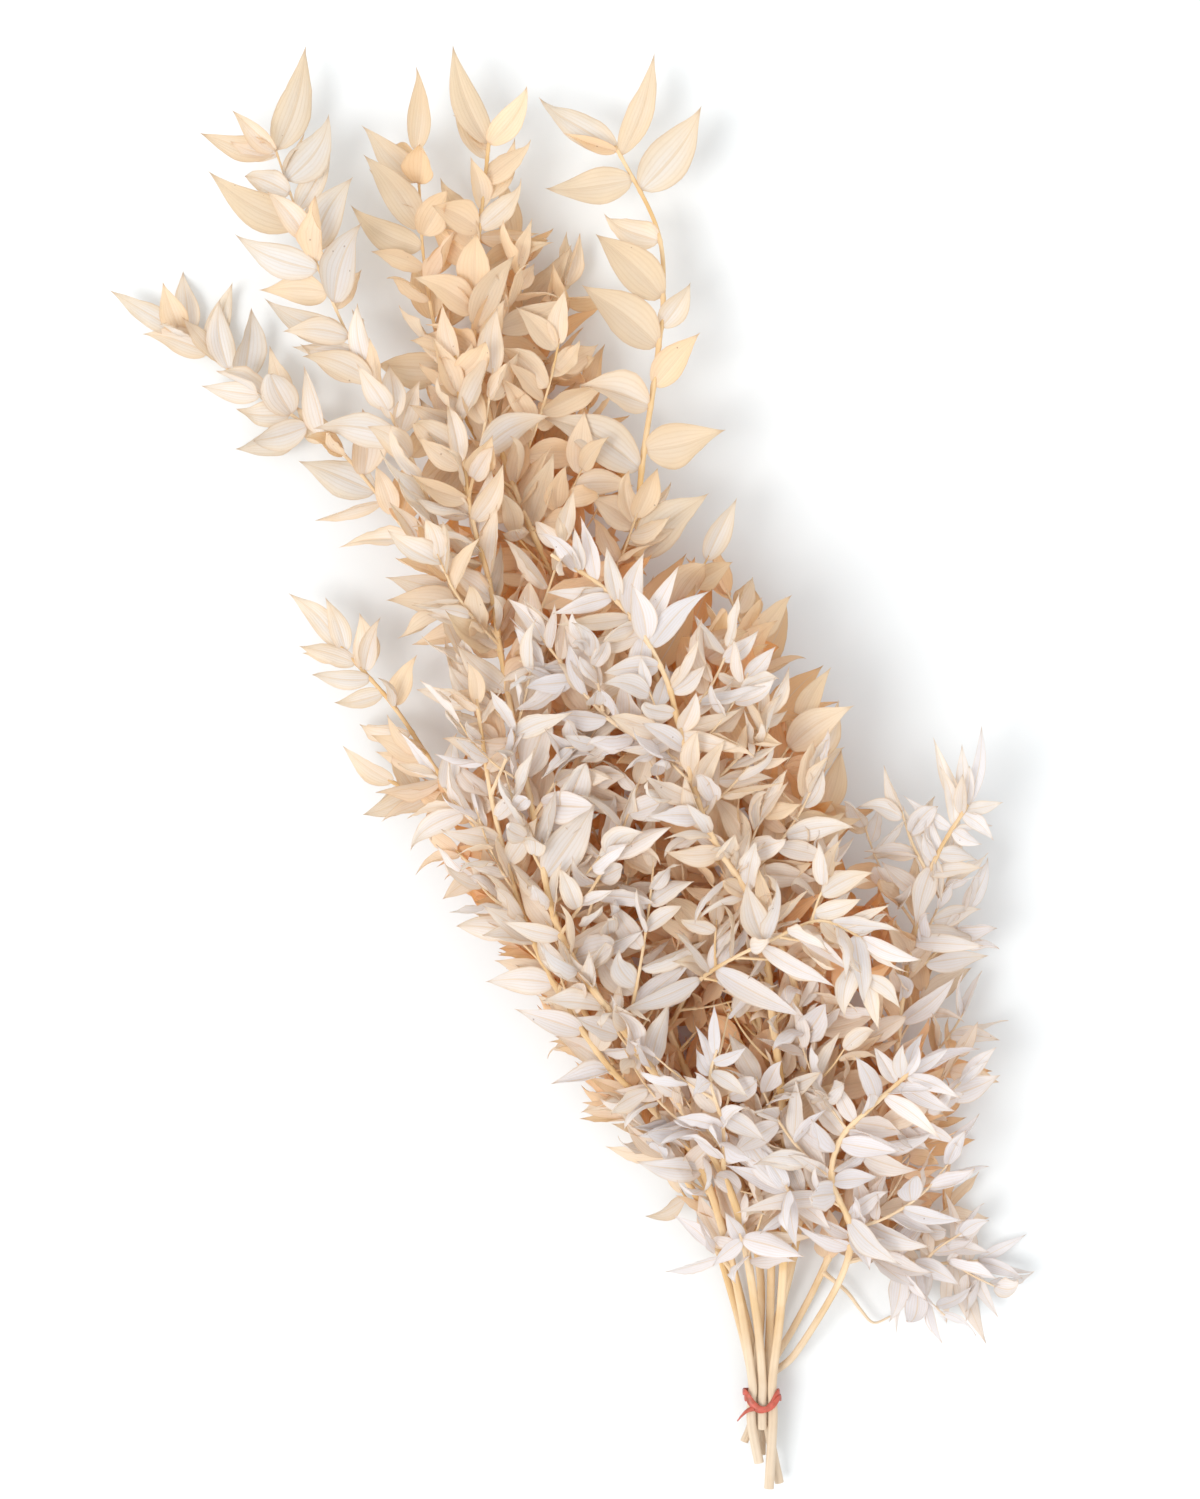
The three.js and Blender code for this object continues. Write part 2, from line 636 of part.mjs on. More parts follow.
// The rest of the leaves: alternately left and right, from the tip down to the bare wood.
function grownLeaves(axis, seed) {
  const leaves = [];
  const placed = axis.placed ?? [];
  const known = placed.map(([x, y]) => nearestOnPath(axis.path, x, y));
  const facing = vary(seededDraw(seed + SEEDS.facing), 1);
  const start = placed.length ? Math.max(...known) + axis.leaf.pitch * GROWTH.belowPlaced : 0;
  const end = pathLength(axis.path) - GROWTH.bareRoot;
  for (let i = 0, distance = start; distance < end; i += 1) {
    const draw = seededDraw(seed + SEEDS.grown * i + SEEDS.firstGrown);
    const { point, along } = fromTip(axis.path, distance);
    if (point.y < (axis.bareTo ?? -Infinity)) break;
    const kind = point.y < SLIM_BELOW ? SLIM : axis.leaf;
    const terminal = i === 0 && start === 0;
    const spread = terminal ? GROWTH.terminalAngle : kind.angle + vary(draw, GROWTH.angleSpread);
    const angle = THREE.MathUtils.degToRad(spread);
    const lift = kind.lift * GROWTH.facing * facing + vary(draw, kind.lift);
    const tilt = THREE.MathUtils.degToRad(lift);
    const level = new THREE.Vector3(0, 0, 1).addScaledVector(along, -along.z).normalize();
    const right = along.clone().cross(level);
    const upper = level.clone().multiplyScalar(Math.cos(tilt)).addScaledVector(right, Math.sin(tilt));
    const side = along.clone().cross(upper).multiplyScalar(i % 2 ? 1 : -1);
    const heading = along.clone().multiplyScalar(Math.cos(angle)).addScaledVector(side, Math.sin(angle));
    const age = Math.min(1, distance / GROWTH.fullSizeAt);
    const grown = THREE.MathUtils.lerp(GROWTH.tipSize, 1, age) * (1 + vary(draw, GROWTH.sizeSpread));
    const length = kind.length * grown;
    const width = kind.width * grown * (1 + vary(draw, GROWTH.widthSpread));
    const base = terminal ? point.addScaledVector(along, -TERMINAL_ROOT) : point;
    const leaf = leafOnStem(base, heading, upper, { length, width }, draw);
    leaves.push({
      ...leaf,
      roll: vary(draw, kind.roll),
      seek: SEEK,
      draw,
      solid: terminal || SOLID_LEAVES.which.includes(i % SOLID_LEAVES.of),
    });
    distance += kind.pitch * (1 + vary(draw, GROWTH.pitchSpread));
  }
  return leaves;
}

// ---- Solids ----

function solidOf({ positions, faces }) {
  return new wasm.Manifold(new wasm.Mesh({
    numProp: 3,
    vertProperties: new Float32Array(positions),
    triVerts: new Uint32Array(faces),
  }));
}

function boxOf({ positions }) {
  return new THREE.Box3().setFromArray(positions);
}

// A piece with the box that holds it and its clearance.
function piece(shape, stem) {
  return { solid: solidOf(shape), box: boxOf(shape).expandByScalar(CLEARANCE), stem };
}

function isClear(candidate, others) {
  return others.every((other) => !candidate.box.intersectsBox(other.box)
    || candidate.solid.minGap(other.solid, CLEARANCE) >= CLEARANCE);
}

// Puts each leaf in the first of its tries that is above the surface and clear of the rest.
function growLeaf(leaf, stem, wood, blades) {
  const others = [...wood.filter((part) => part.stem !== stem), ...blades];
  for (let k = 0; k < TRIES; k += 1) {
    const shape = leafBlade(turnedLeaf(leaf, leaf.seek, k, leaf.draw));
    if (boxOf(shape).min.z < 0) continue;
    const blade = piece(shape, stem);
    if (isClear(blade, others)) {
      blades.push(blade);
      return;
    }
  }
}

function geometryOf(solid) {
  const mesh = solid.getMesh();
  const geometry = new THREE.BufferGeometry();
  geometry.setAttribute("position", new THREE.BufferAttribute(mesh.vertProperties, 3));
  geometry.setIndex(new THREE.BufferAttribute(mesh.triVerts, 1));
  return geometry;
}

// ---- The rubber band ----

// The outline round the outer stems of the bundle, at a distance from their centres, and how
// far each of its points faces up.
function bundleOutline(distance) {
  const points = BUNDLE_CORNERS.map((corner) => bundlePoint(corner, 0));
  const outline = [];
  points.forEach((point, i) => {
    const before = points[(i + points.length - 1) % points.length];
    const after = points[(i + 1) % points.length];
    const normals = [[before, point], [point, after]].map(([from, to]) => {
      const run = to.clone().sub(from).normalize();
      return Math.atan2(-run.x, run.z);
    });
    let turn = normals[1] - normals[0];
    if (turn < 0) turn += 2 * Math.PI;
    for (let k = 0; k <= BAND.cornerSteps; k += 1) {
      const angle = normals[0] + (turn * k) / BAND.cornerSteps;
      const [across, up] = [Math.cos(angle), Math.sin(angle)];
      outline.push([point.x + distance * across, point.z + distance * up, up]);
    }
  });
  return outline;
}

// One turn of the band, which crosses the bundle at a slant and sags on top.
function bandTurn(inner, slant) {
  const near = bundleOutline(inner);
  const far = bundleOutline(inner + BAND.thickness);
  const positions = [];
  const reach = BUNDLE_PITCH + inner;
  near.forEach(([x, z, up], i) => {
    const sag = BAND.sag * Math.max(0, up) * (1 - ((x - TIE.x) / reach) ** 2);
    const middle = TIE.y + slant * (x - TIE.x) - sag;
    const [farX, farZ] = far[i];
    for (const [px, pz] of [[x, z], [farX, farZ]]) {
      for (const side of [-1, 1]) positions.push(px, middle + (side * BAND.width) / 2, pz);
    }
  });
  const faces = [];
  const count = near.length;
  for (let i = 0; i < count; i += 1) {
    const a = 4 * i;
    const b = 4 * ((i + 1) % count);
    for (const [p, q] of [[0, 1], [1, 3], [3, 2], [2, 0]]) {
      faces.push(a + p, b + q, a + q, a + p, b + p, b + q);
    }
  }
  return { positions, faces };
}

function bandSolid() {
  const inner = BUNDLE_STEM_RADIUS + BAND.gap;
  const first = solidOf(bandTurn(inner, BAND.cross));
  const second = solidOf(bandTurn(inner + BAND.turnStep, -BAND.cross));
  const end = solidOf(taperedRod(BAND_END.path.map(vector), BAND_END.radius, BAND_END.sides, 1));
  return wasm.Manifold.union([first, second, end]);
}

// ---- The bunch ----

const materials = {
  stem: new THREE.MeshStandardMaterial({ color: 0xe3c79a, roughness: 0.8, metalness: 0 }),
  band: new THREE.MeshStandardMaterial({ color: 0xc9402f, roughness: 0.6, metalness: 0 }),
};

const stemAxes = STEMS.map(axesOf);
const wood = stemAxes.flatMap((axes, stem) => axes.map((axis) => (
  piece(taperedRod(axis.path, axis.radius, axis.sides, axis.taper), stem)
)));
const blades = [];
const seedOf = (stem, axis) => SEEDS.stem * (stem + 1) + SEEDS.axis * axis;
for (const leavesOf of [placedLeaves, grownLeaves]) {
  stemAxes.forEach((axes, stem) => axes.forEach((axis, number) => {
    leavesOf(axis, seedOf(stem, number)).filter((leaf) => leaf.solid).forEach((leaf) => {
      growLeaf(leaf, stem, wood, blades);
    });
  }));
}

const bunch = new THREE.Group();
STEMS.forEach((_, stem) => {
  const parts = [...wood, ...blades].filter((part) => part.stem === stem).map((part) => part.solid);
  const mesh = new THREE.Mesh(geometryOf(wasm.Manifold.union(parts)), materials.stem);
  mesh.name = `leafy_stem_${String(stem + 1).padStart(2, "0")}`;
  bunch.add(mesh);
});
const band = new THREE.Mesh(geometryOf(bandSolid()), materials.band);
band.name = "tie_band";
bunch.add(band);

// The origin is the middle of the bunch's footprint, on the surface.
const size = new THREE.Box3().setFromObject(bunch);
const middle = size.getCenter(new THREE.Vector3());
bunch.position.set(-middle.x, -middle.y, 0);

export default bunch;
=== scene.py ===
"""The looks of a tied bunch of dried ruscus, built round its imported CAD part.

The stems' lists and the rules that draw their leaves are those of the CAD source, in
millimetres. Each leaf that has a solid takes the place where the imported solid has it, and
the others are put between them by the same rules. MM turns millimetres to metres.
"""

import math

import bpy
import numpy as np
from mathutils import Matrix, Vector
from mathutils.bvhtree import BVHTree
from mathutils.kdtree import KDTree


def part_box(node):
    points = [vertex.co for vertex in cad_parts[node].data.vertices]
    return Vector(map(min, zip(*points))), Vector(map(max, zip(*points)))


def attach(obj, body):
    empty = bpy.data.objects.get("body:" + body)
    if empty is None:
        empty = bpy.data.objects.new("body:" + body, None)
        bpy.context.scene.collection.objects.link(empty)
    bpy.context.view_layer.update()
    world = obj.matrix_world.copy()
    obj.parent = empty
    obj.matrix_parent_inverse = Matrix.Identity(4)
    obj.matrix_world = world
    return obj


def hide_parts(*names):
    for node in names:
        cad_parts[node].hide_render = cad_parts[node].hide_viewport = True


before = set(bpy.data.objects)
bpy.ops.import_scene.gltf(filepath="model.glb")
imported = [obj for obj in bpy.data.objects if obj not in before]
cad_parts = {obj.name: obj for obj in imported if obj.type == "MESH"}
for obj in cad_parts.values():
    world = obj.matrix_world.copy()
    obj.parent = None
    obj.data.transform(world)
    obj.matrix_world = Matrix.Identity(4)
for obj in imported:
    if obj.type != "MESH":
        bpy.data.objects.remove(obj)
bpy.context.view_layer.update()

MM = 0.001

# ---- Sizes shared with the CAD source, in millimetres and degrees ----

STEM_SAMPLES = 2  # straight runs between two points of a long path of the CAD
TWIG_SAMPLES = 1
TWIG_TURNS = (1.15, 0.9, 0.65)  # the share of its heading that each third of a twig has
TWIG_CLIMBS = (0.5, 0.33, 0.17)  # the share of its rise that each third makes
TERMINAL_ROOT = 3  # how far back from an axis's tip its last leaf has its root

TIE_X, TIE_Y, TIE_HALF_RUN = 75, -301, 11
BUNDLE_STEM_RADIUS = 2.25
BUNDLE_PITCH = 4.85
BAND_THICKNESS, BAND_WIDTH, BAND_TURN_STEP, BAND_CROSS, BAND_GAP = 1, 3.2, 0.45, 0.16, 0.6
BAND_END = [[71, -304.4, 20.6], [68, -305.4, 20], [65.4, -308.2, 16.5], [63.9, -310.6, 12.5]]
BUNDLE_LOW = BUNDLE_STEM_RADIUS + BAND_GAP + BAND_THICKNESS + BAND_TURN_STEP
BUNDLE_ROW = BUNDLE_PITCH * math.sqrt(0.75)
BUNDLE_CORNERS = [(-0.5, 0), (0.5, 0), (1, 1), (1, 3), (-1, 3), (-1, 1)]

BROAD = {"length": 46, "width": 19, "pitch": 15, "angle": 42, "lift": 14, "roll": 18}
MIDDLE = {"length": 38, "width": 15, "pitch": 12, "angle": 44, "lift": 34, "roll": 34}
SLIM = {"length": 34, "width": 12, "pitch": 11, "angle": 44, "lift": 40, "roll": 40}
SLIM_BELOW = -60  # below this height on the Y axis every grown leaf is slim
SOLID_LEAVES = {"of": 7, "which": (0, 3)}  # the grown leaves with solids, besides those at a tip

# The form of a leaf: its curl and twist are in radians along its length, its fold along the middle.
FORM = {
    "curl": 0.12, "curl_spread": 0.1, "curled": 0.3, "more_curl": 0.5, "less_curl": 0.15,
    "twist_spread": 0.35, "fold": 0.16, "fold_spread": 0.14,
}
PLACED = {"lift": 0.25, "roll": 14}  # the lift is a share of how far the leaf reaches
GROWTH = {
    "tip_size": 0.74, "full_size_at": 50, "size_spread": 0.14, "width_spread": 0.1,
    "pitch_spread": 0.25, "angle_spread": 9, "terminal_angle": 3.5, "facing": 0.6,
    "bare_root": 4, "below_placed": 0.7,
}
SEEDS = {"stem": 100003, "axis": 1009, "placed": 17, "grown": 31, "first_grown": 7, "facing": 5}
UP = np.array([0, 0, 1.0])

TRIES = 14
# How far the last try for a clear place may turn a leaf, and how much shorter it may get.
SEEK = {"yaw": 38, "pitch": 46, "roll": 60, "shrink": 0.2}
SEEK_PLACED = {"yaw": 12, "pitch": 30, "roll": 45, "shrink": 0.08}
LEAFY_FROM = -236  # leaves grow above this height on the Y axis, if a stem doesn't say

# Each stem: its place in the bundle [column, row], its cut end and radius there, then its path.
# A spray is a long side branch that leaves the stem at the height "at" on the Y axis.
# A twig is [y where it leaves, heading clockwise from +Y in degrees, length, rise].
# A placed leaf is [base x, base y, tip x, tip y, width], seen from above.
STEMS = [
    {
        "slot": [-1, 3], "cut": [73.6, -330, 14.5], "radius": 2.25,
        "leaf": SLIM, "leafy_from": -196,
        "path": [
            [62, -242, 21], [46, -191, 34], [26, -167, 42], [0, -140, 48], [-29, -91, 56],
            [-47, -33, 66], [-56, 23, 78],
        ],
        "twigs": [[-75, -60, 28, -8], [-40, -50, 45, -6], [-110, 20, 70, 20], [-20, 20, 60, 24]],
        "sprays": [
            {
                "at": -242, "leaf": SLIM, "path": [[54, -232, 27], [50, -227, 30]],
                "placed": [[50, -227, 33, -215, 7], [52, -229, 39, -207, 5]],
            },
        ],
    },
    {
        "slot": [0, 3], "cut": [75, -314, 16.7], "radius": 2.15,
        "leaf": MIDDLE, "leafy_from": -186,
        "path": [
            [72, -260, 20], [63, -212, 34], [46, -177, 46], [12, -130, 60], [-18, -84, 68],
            [-30, -30, 72], [-43, 32, 70], [-50, 75, 66], [-60, 115, 60], [-66, 180, 50],
        ],
        "twigs": [
            [-130, 10, 80, 14], [-84, 30, 80, 16], [-30, 28, 70, 14], [32, 25, 70, 4],
            [-10, -40, 45, -10], [75, -15, 60, -8], [115, 12, 60, -4],
        ],
        "sprays": [
            {
                "at": 50, "leaf": MIDDLE,
                "path": [
                    [-67, 74, 62], [-80, 118, 55], [-102, 166, 47], [-118, 195, 43], [-136, 238, 36],
                    [-150, 278, 30],
                ],
                "placed": [
                    [-150, 279, -137, 324, 19.5], [-153, 286, -178, 303, 14],
                    [-151, 273, -184, 285, 15], [-140, 240, -179, 264, 19], [-131, 220, -168, 236, 17],
                    [-116, 188, -154, 206, 15], [-112, 180, -141, 184, 11], [-105, 167, -139, 181, 14],
                    [-144, 261, -122, 291, 20], [-131, 229, -114, 263, 19], [-122, 205, -109, 242, 20],
                    [-103, 177, -111, 205, 10], [-87, 153, -97, 177, 14],
                ],
            },
            {
                "at": 44, "leaf": MIDDLE,
                "path": [
                    [-66, 72, 50], [-91, 103, 36], [-119, 137, 24], [-140, 153, 16], [-163, 168, 11],
                    [-179, 182, 6], [-197, 195, 4],
                ],
                "placed": [
                    [-198, 195, -228, 213, 12], [-196, 198, -203, 233, 16], [-191, 192, -195, 222, 13],
                    [-184, 180, -212, 194, 15], [-171, 177, -177, 209, 15], [-181, 186, -157, 223, 13],
                    [-157, 163, -185, 168, 12], [-140, 160, -169, 156, 14], [-141, 162, -153, 186, 15],
                ],
            },
            {
                "at": -196, "leaf": SLIM, "path": [[56, -172, 62], [50, -150, 74], [53, -136, 77]],
                "placed": [
                    [53, -137, 52, -115, 6], [50, -144, 43, -125, 5], [52, -143, 67, -134, 7],
                    [48, -148, 43, -136, 8], [50, -146, 67, -158, 8], [54, -165, 38, -148, 13],
                    [54, -166, 76, -178, 10],
                ],
            },
            {
                "at": -242, "leaf": SLIM, "path": [[67, -231, 36], [64, -222, 43]],
                "placed": [[64, -222, 94, -233, 12], [65, -225, 50, -236, 9], [66, -227, 57, -212, 8]],
            },
        ],
    },
    {
        "slot": [-0.5, 2], "cut": [72.5, -314, 12.5], "radius": 2.1,
        "leaf": MIDDLE, "leafy_from": -206,
        "path": [
            [74, -240, 10], [60, -186, 17], [34, -135, 24], [20, -75, 30], [2, -10, 32], [-17, 45, 28],
            [-27, 107, 21], [-33, 170, 14], [-40, 239, 9],
        ],
        "twigs": [
            [-75, -30, 70, 14], [-10, 35, 80, -6], [55, -25, 70, 4], [107, 25, 60, -4],
            [165, 20, 55, -4],
        ],
        "sprays": [
            {
                "at": -128, "leaf": SLIM,
                "path": [[42, -109, 50], [56, -97, 76], [77, -86, 92], [99, -77, 98], [120, -86, 96]],
                "placed": [
                    [56, -104, 95, -121, 14], [75, -93, 109, -106, 10], [87, -84, 114, -101, 9],
                    [99, -78, 116, -89, 9], [104, -78, 134, -86, 8], [119, -86, 146, -95, 9],
                    [115, -83, 118, -116, 12], [117, -85, 138, -105, 6], [109, -79, 131, -69, 6],
                    [50, -100, 62, -79, 11], [75, -88, 66, -60, 16], [46, -104, 4, -120, 10],
                ],
            },
        ],
    },
    {
        "slot": [0.5, 2], "cut": [83.2, -340, 7.5], "radius": 2.1,
        "leaf": MIDDLE, "leafy_from": -206,
        "path": [
            [79, -255, 12], [79, -186, 27], [74, -130, 39], [58, -70, 48], [23, -5, 50], [-10, 55, 47],
            [-40, 122, 44], [-56, 177, 42], [-57, 219, 38], [-51, 281, 30],
        ],
        "placed": [
            [-51, 281, -69, 324, 17], [-53, 271, -71, 304, 14], [-49, 279, -19, 300, 15],
            [-52, 252, -39, 281, 13], [-55, 240, -32, 260, 14], [-58, 240, -81, 263, 18],
        ],
        "twigs": [
            [-130, -30, 80, 20], [-70, 35, 80, 10], [-5, 40, 70, 4], [-5, -35, 70, 10], [55, 30, 60, 4],
            [122, 20, 70, -2], [177, 25, 50, -6], [-170, 20, 70, 6],
        ],
        "sprays": [
            {
                "at": 100, "leaf": MIDDLE,
                "path": [
                    [-60, 149, 37], [-74, 186, 34], [-81, 225, 32], [-83, 256, 31], [-85, 278, 30],
                ],
                "placed": [
                    [-85, 278, -82, 315, 12.5], [-85, 260, -108, 288, 14], [-83, 238, -110, 275, 16],
                ],
            },
        ],
    },
    {
        "slot": [1, 3], "cut": [78.2, -342, 14], "radius": 2.25,
        "leaf": BROAD, "leafy_from": -196,
        "path": [
            [84, -250, 22], [85, -186, 42], [79, -125, 58], [70, -75, 66], [35, 5, 62], [20, 60, 53],
            [18, 115, 46], [25, 170, 42], [29, 208, 38], [26, 240, 34], [7, 278, 30],
        ],
        "placed": [
            [13, 274, 25, 321, 17], [21, 258, 48, 295, 22], [8, 278, -30, 298, 16],
            [6, 277, -27, 277, 13], [15, 262, -25, 258, 19], [26, 234, 1, 244, 18],
            [26, 207, -4, 237, 21], [27, 184, -11, 212, 23], [23, 157, -10, 167, 23],
            [17, 128, -26, 153, 26], [24, 137, 58, 148, 23], [28, 165, 46, 191, 16],
            [31, 193, 42, 214, 13], [18, 102, -5, 116, 20], [21, 88, 52, 116, 22],
        ],
        "twigs": [
            [5, 40, 60, -8], [55, 45, 45, -8], [-33, -35, 70, 10], [-90, 28, 70, -24],
            [-30, 50, 60, -6],
        ],
        "sprays": [
            {
                "at": -125, "leaf": MIDDLE,
                "path": [
                    [93, -93, 52], [91, -60, 46], [86, -23, 40], [77, 14, 36], [67, 51, 33],
                    [58, 74, 30],
                ],
            },
        ],
    },
    {
        "slot": [1, 1], "cut": [80, -314, 8.4], "radius": 2,
        "leaf": SLIM,
        "path": [
            [91, -279, 12], [111, -244, 24], [115, -220, 36], [106, -197, 50], [110, -177, 60],
            [124, -162, 68], [141, -146, 74],
        ],
        "placed": [
            [141, -146, 164, -158, 9], [136, -153, 163, -165, 9], [139, -147, 137, -123, 8],
            [141, -146, 143, -122, 6], [141, -146, 165, -132, 8], [140, -147, 174, -123, 9],
            [135, -152, 116, -132, 11], [126, -160, 115, -139, 10], [115, -169, 107, -150, 8],
            [110, -176, 91, -155, 12], [108, -183, 87, -170, 9], [107, -195, 84, -182, 7],
            [116, -170, 141, -171, 12], [129, -158, 155, -177, 9], [110, -180, 141, -183, 12],
            [106, -198, 129, -196, 11], [109, -206, 58, -211, 9], [113, -216, 139, -236, 14],
            [114, -222, 123, -240, 11],
        ],
        "twigs": [[-221, 60, 60, 4], [-197, -40, 60, 10], [-172, 75, 60, -14], [-205, -75, 45, 2]],
        "sprays": [
            {
                "at": -236, "leaf": SLIM,
                "path": [[130, -234, 20], [149, -238, 11], [165, -238, 7], [178, -237, 5]],
                "placed": [
                    [178, -237, 198, -225, 6], [178, -237, 209, -252, 7], [176, -237, 201, -257, 8],
                    [171, -238, 186, -264, 8], [165, -238, 181, -276, 10], [162, -238, 161, -267, 6],
                    [150, -238, 147, -262, 12], [142, -237, 137, -270, 6], [144, -237, 149, -267, 8],
                    [171, -238, 170, -208, 8], [166, -238, 160, -203, 7], [160, -238, 180, -217, 5],
                    [151, -238, 153, -216, 7], [147, -237, 131, -224, 9],
                ],
            },
        ],
    },
    {
        "slot": [0.5, 0], "cut": [77.8, -320, 4.2], "radius": 1.9,
        "leaf": SLIM,
        "path": [
            [90, -268, 6], [103, -242, 9], [120, -200, 15], [134, -155, 23], [140, -107, 35],
            [145, -80, 42], [153, -51, 48], [168, -25, 54],
        ],
        "placed": [
            [169, -24, 174, 14, 7], [169, -24, 177, 2, 6], [167, -26, 163, 3, 7], [165, -28, 153, 6, 7],
            [161, -34, 154, -5, 7], [160, -36, 139, -21, 7], [169, -25, 190, -19, 8],
            [166, -29, 180, -41, 8], [161, -37, 177, -48, 8], [155, -48, 173, -50, 9],
            [152, -51, 148, -36, 8], [152, -53, 144, -82, 12], [154, -50, 152, -77, 10],
            [155, -48, 172, -65, 7], [150, -58, 139, -25, 7], [144, -84, 176, -86, 11],
            [143, -88, 178, -90, 9],
        ],
        "twigs": [
            [-200, 55, 50, -4], [-155, 50, 50, -4], [-105, 45, 45, -4], [-105, -40, 50, -6],
            [-58, -25, 35, 2], [-228, 80, 60, -2],
        ],
        "sprays": [
            {
                "at": -242, "leaf": SLIM, "bare_to": -240,
                "path": [[114, -251, 8], [121, -260, 7], [127, -266, 6], [135, -263, 6]],
            },
        ],
    },
    {
        "slot": [0, 1], "cut": [74.9, -327, 8], "radius": 2,
        "leaf": SLIM,
        "path": [
            [83, -262, 7], [90, -232, 14], [95, -186, 30], [93, -140, 50], [86, -98, 66], [67, -65, 80],
            [48, -34, 91], [36, 8, 99], [30, 31, 100], [17, 55, 98], [0, 74, 93], [-22, 88, 86],
        ],
        "placed": [
            [-8, 82, -12, 101, 7], [-1, 76, -9, 106, 10], [-2, 74, -31, 78, 7], [2, 70, -26, 72, 7],
            [4, 67, -22, 60, 10], [13, 58, -21, 56, 10], [16, 50, -13, 46, 10], [16, 60, 32, 86, 11],
            [21, 54, 36, 83, 9], [25, 47, 50, 72, 13], [19, 50, 14, 22, 12], [31, 26, 48, 38, 10],
            [32, 16, 4, 15, 7], [34, 7, 8, 0, 9], [36, 8, 64, 19, 8], [38, 7, 64, 2, 10],
        ],
        "twigs": [
            [-140, 15, 75, -10], [-186, 55, 60, 6], [10, 35, 45, -8], [-60, 40, 60, -6],
            [-20, 45, 50, -8],
        ],
        "sprays": [
            {
                "at": -8, "leaf": SLIM,
                "path": [[9, 10, 95], [-5, 23, 92], [-19, 41, 90], [-27, 51, 88]],
            },
            {
                "at": -98, "leaf": SLIM,
                "path": [[81, -70, 66], [75, -46, 62], [77, -19, 58], [76, -2, 55]],
            },
            {
                "at": -212, "leaf": SLIM, "path": [[88, -206, 44], [85, -199, 56]],
                "placed": [
                    [85, -199, 62, -167, 15], [86, -201, 64, -182, 10], [87, -203, 57, -190, 9],
                    [86, -202, 88, -229, 9], [88, -206, 106, -221, 10], [88, -206, 106, -233, 8],
                ],
            },
        ],
    },
    {
        "slot": [-1, 1], "cut": [66.9, -321, 8], "radius": 1.9,
        "leaf": SLIM, "leafy_from": -190,
        "path": [
            [62, -256, 10], [49, -216, 15], [32, -186, 20], [5, -143, 27], [-19, -98, 30],
            [-42, -58, 32], [-73, -13, 32], [-95, 20, 30], [-121, 49, 26],
        ],
        "placed": [
            [-123, 50, -144, 72, 12], [-116, 46, -125, 71, 11], [-106, 39, -111, 63, 13],
            [-112, 40, -140, 46, 11], [-107, 31, -136, 36, 11], [-92, 23, -85, 44, 13],
            [-80, -5, -105, 8, 12],
        ],
        "twigs": [[-172, -60, 24, -5], [-98, -60, 32, -6], [-214, -50, 16, -2], [-58, -70, 30, -6]],
    },
    {
        "slot": [-0.5, 0], "cut": [72.3, -316, 4.3], "radius": 1.9,
        "leaf": SLIM, "leafy_from": -190,
        "path": [
            [69, -268, 4.5], [52, -209, 8], [32, -177, 11], [9, -144, 13], [-16, -105, 14],
            [-44, -47, 16], [-65, -30, 18], [-98, -14, 21],
        ],
        "placed": [[-98, -15, -119, 2, 12], [-86, -19, -111, -31, 11]],
        "twigs": [[-196, -50, 18, -2], [-144, -65, 26, -4], [-112, -60, 26, -4]],
    },
]


# ---- Drawing numbers and paths, as in the CAD source ----

WORD = 0xFFFFFFFF  # the largest number of 32 bits


def seeded_draw(seed):
    """A seeded draw of numbers from 0 to 1, the same each time."""
    state = seed & WORD

    def draw():
        nonlocal state
        state = (state + 0x6D2B79F5) & WORD
        mixed = ((state ^ state >> 15) * (state | 1)) & WORD
        mixed ^= (mixed + (mixed ^ mixed >> 7) * (mixed | 61)) & WORD
        return (mixed ^ mixed >> 14) / (WORD + 1)

    return draw


def vary(draw, spread):
    """A drawn number from -spread to spread."""
    return spread * (2 * draw() - 1)


def unit(vector):
    return vector / np.linalg.norm(vector)


def turned(first, second, angle):
    """The first direction turned towards the second by an angle in radians."""
    return first * math.cos(angle) + second * math.sin(angle)


def smooth_point(points, place):
    """The Catmull-Rom curve through the points; place 0 is the first one and 1 the next."""
    last = len(points) - 1
    span = min(int(place), last - 1)
    t = place - span
    start, end = points[span], points[span + 1]
    before = points[span - 1] if span > 0 else 2 * start - end
    after = points[span + 2] if span + 2 <= last else 2 * end - start
    leave, arrive = (end - before) / 2, (after - start) / 2
    bend = 3 * (end - start) - 2 * leave - arrive
    ease = 2 * (start - end) + leave + arrive
    return start + t * (leave + t * (bend + t * ease))


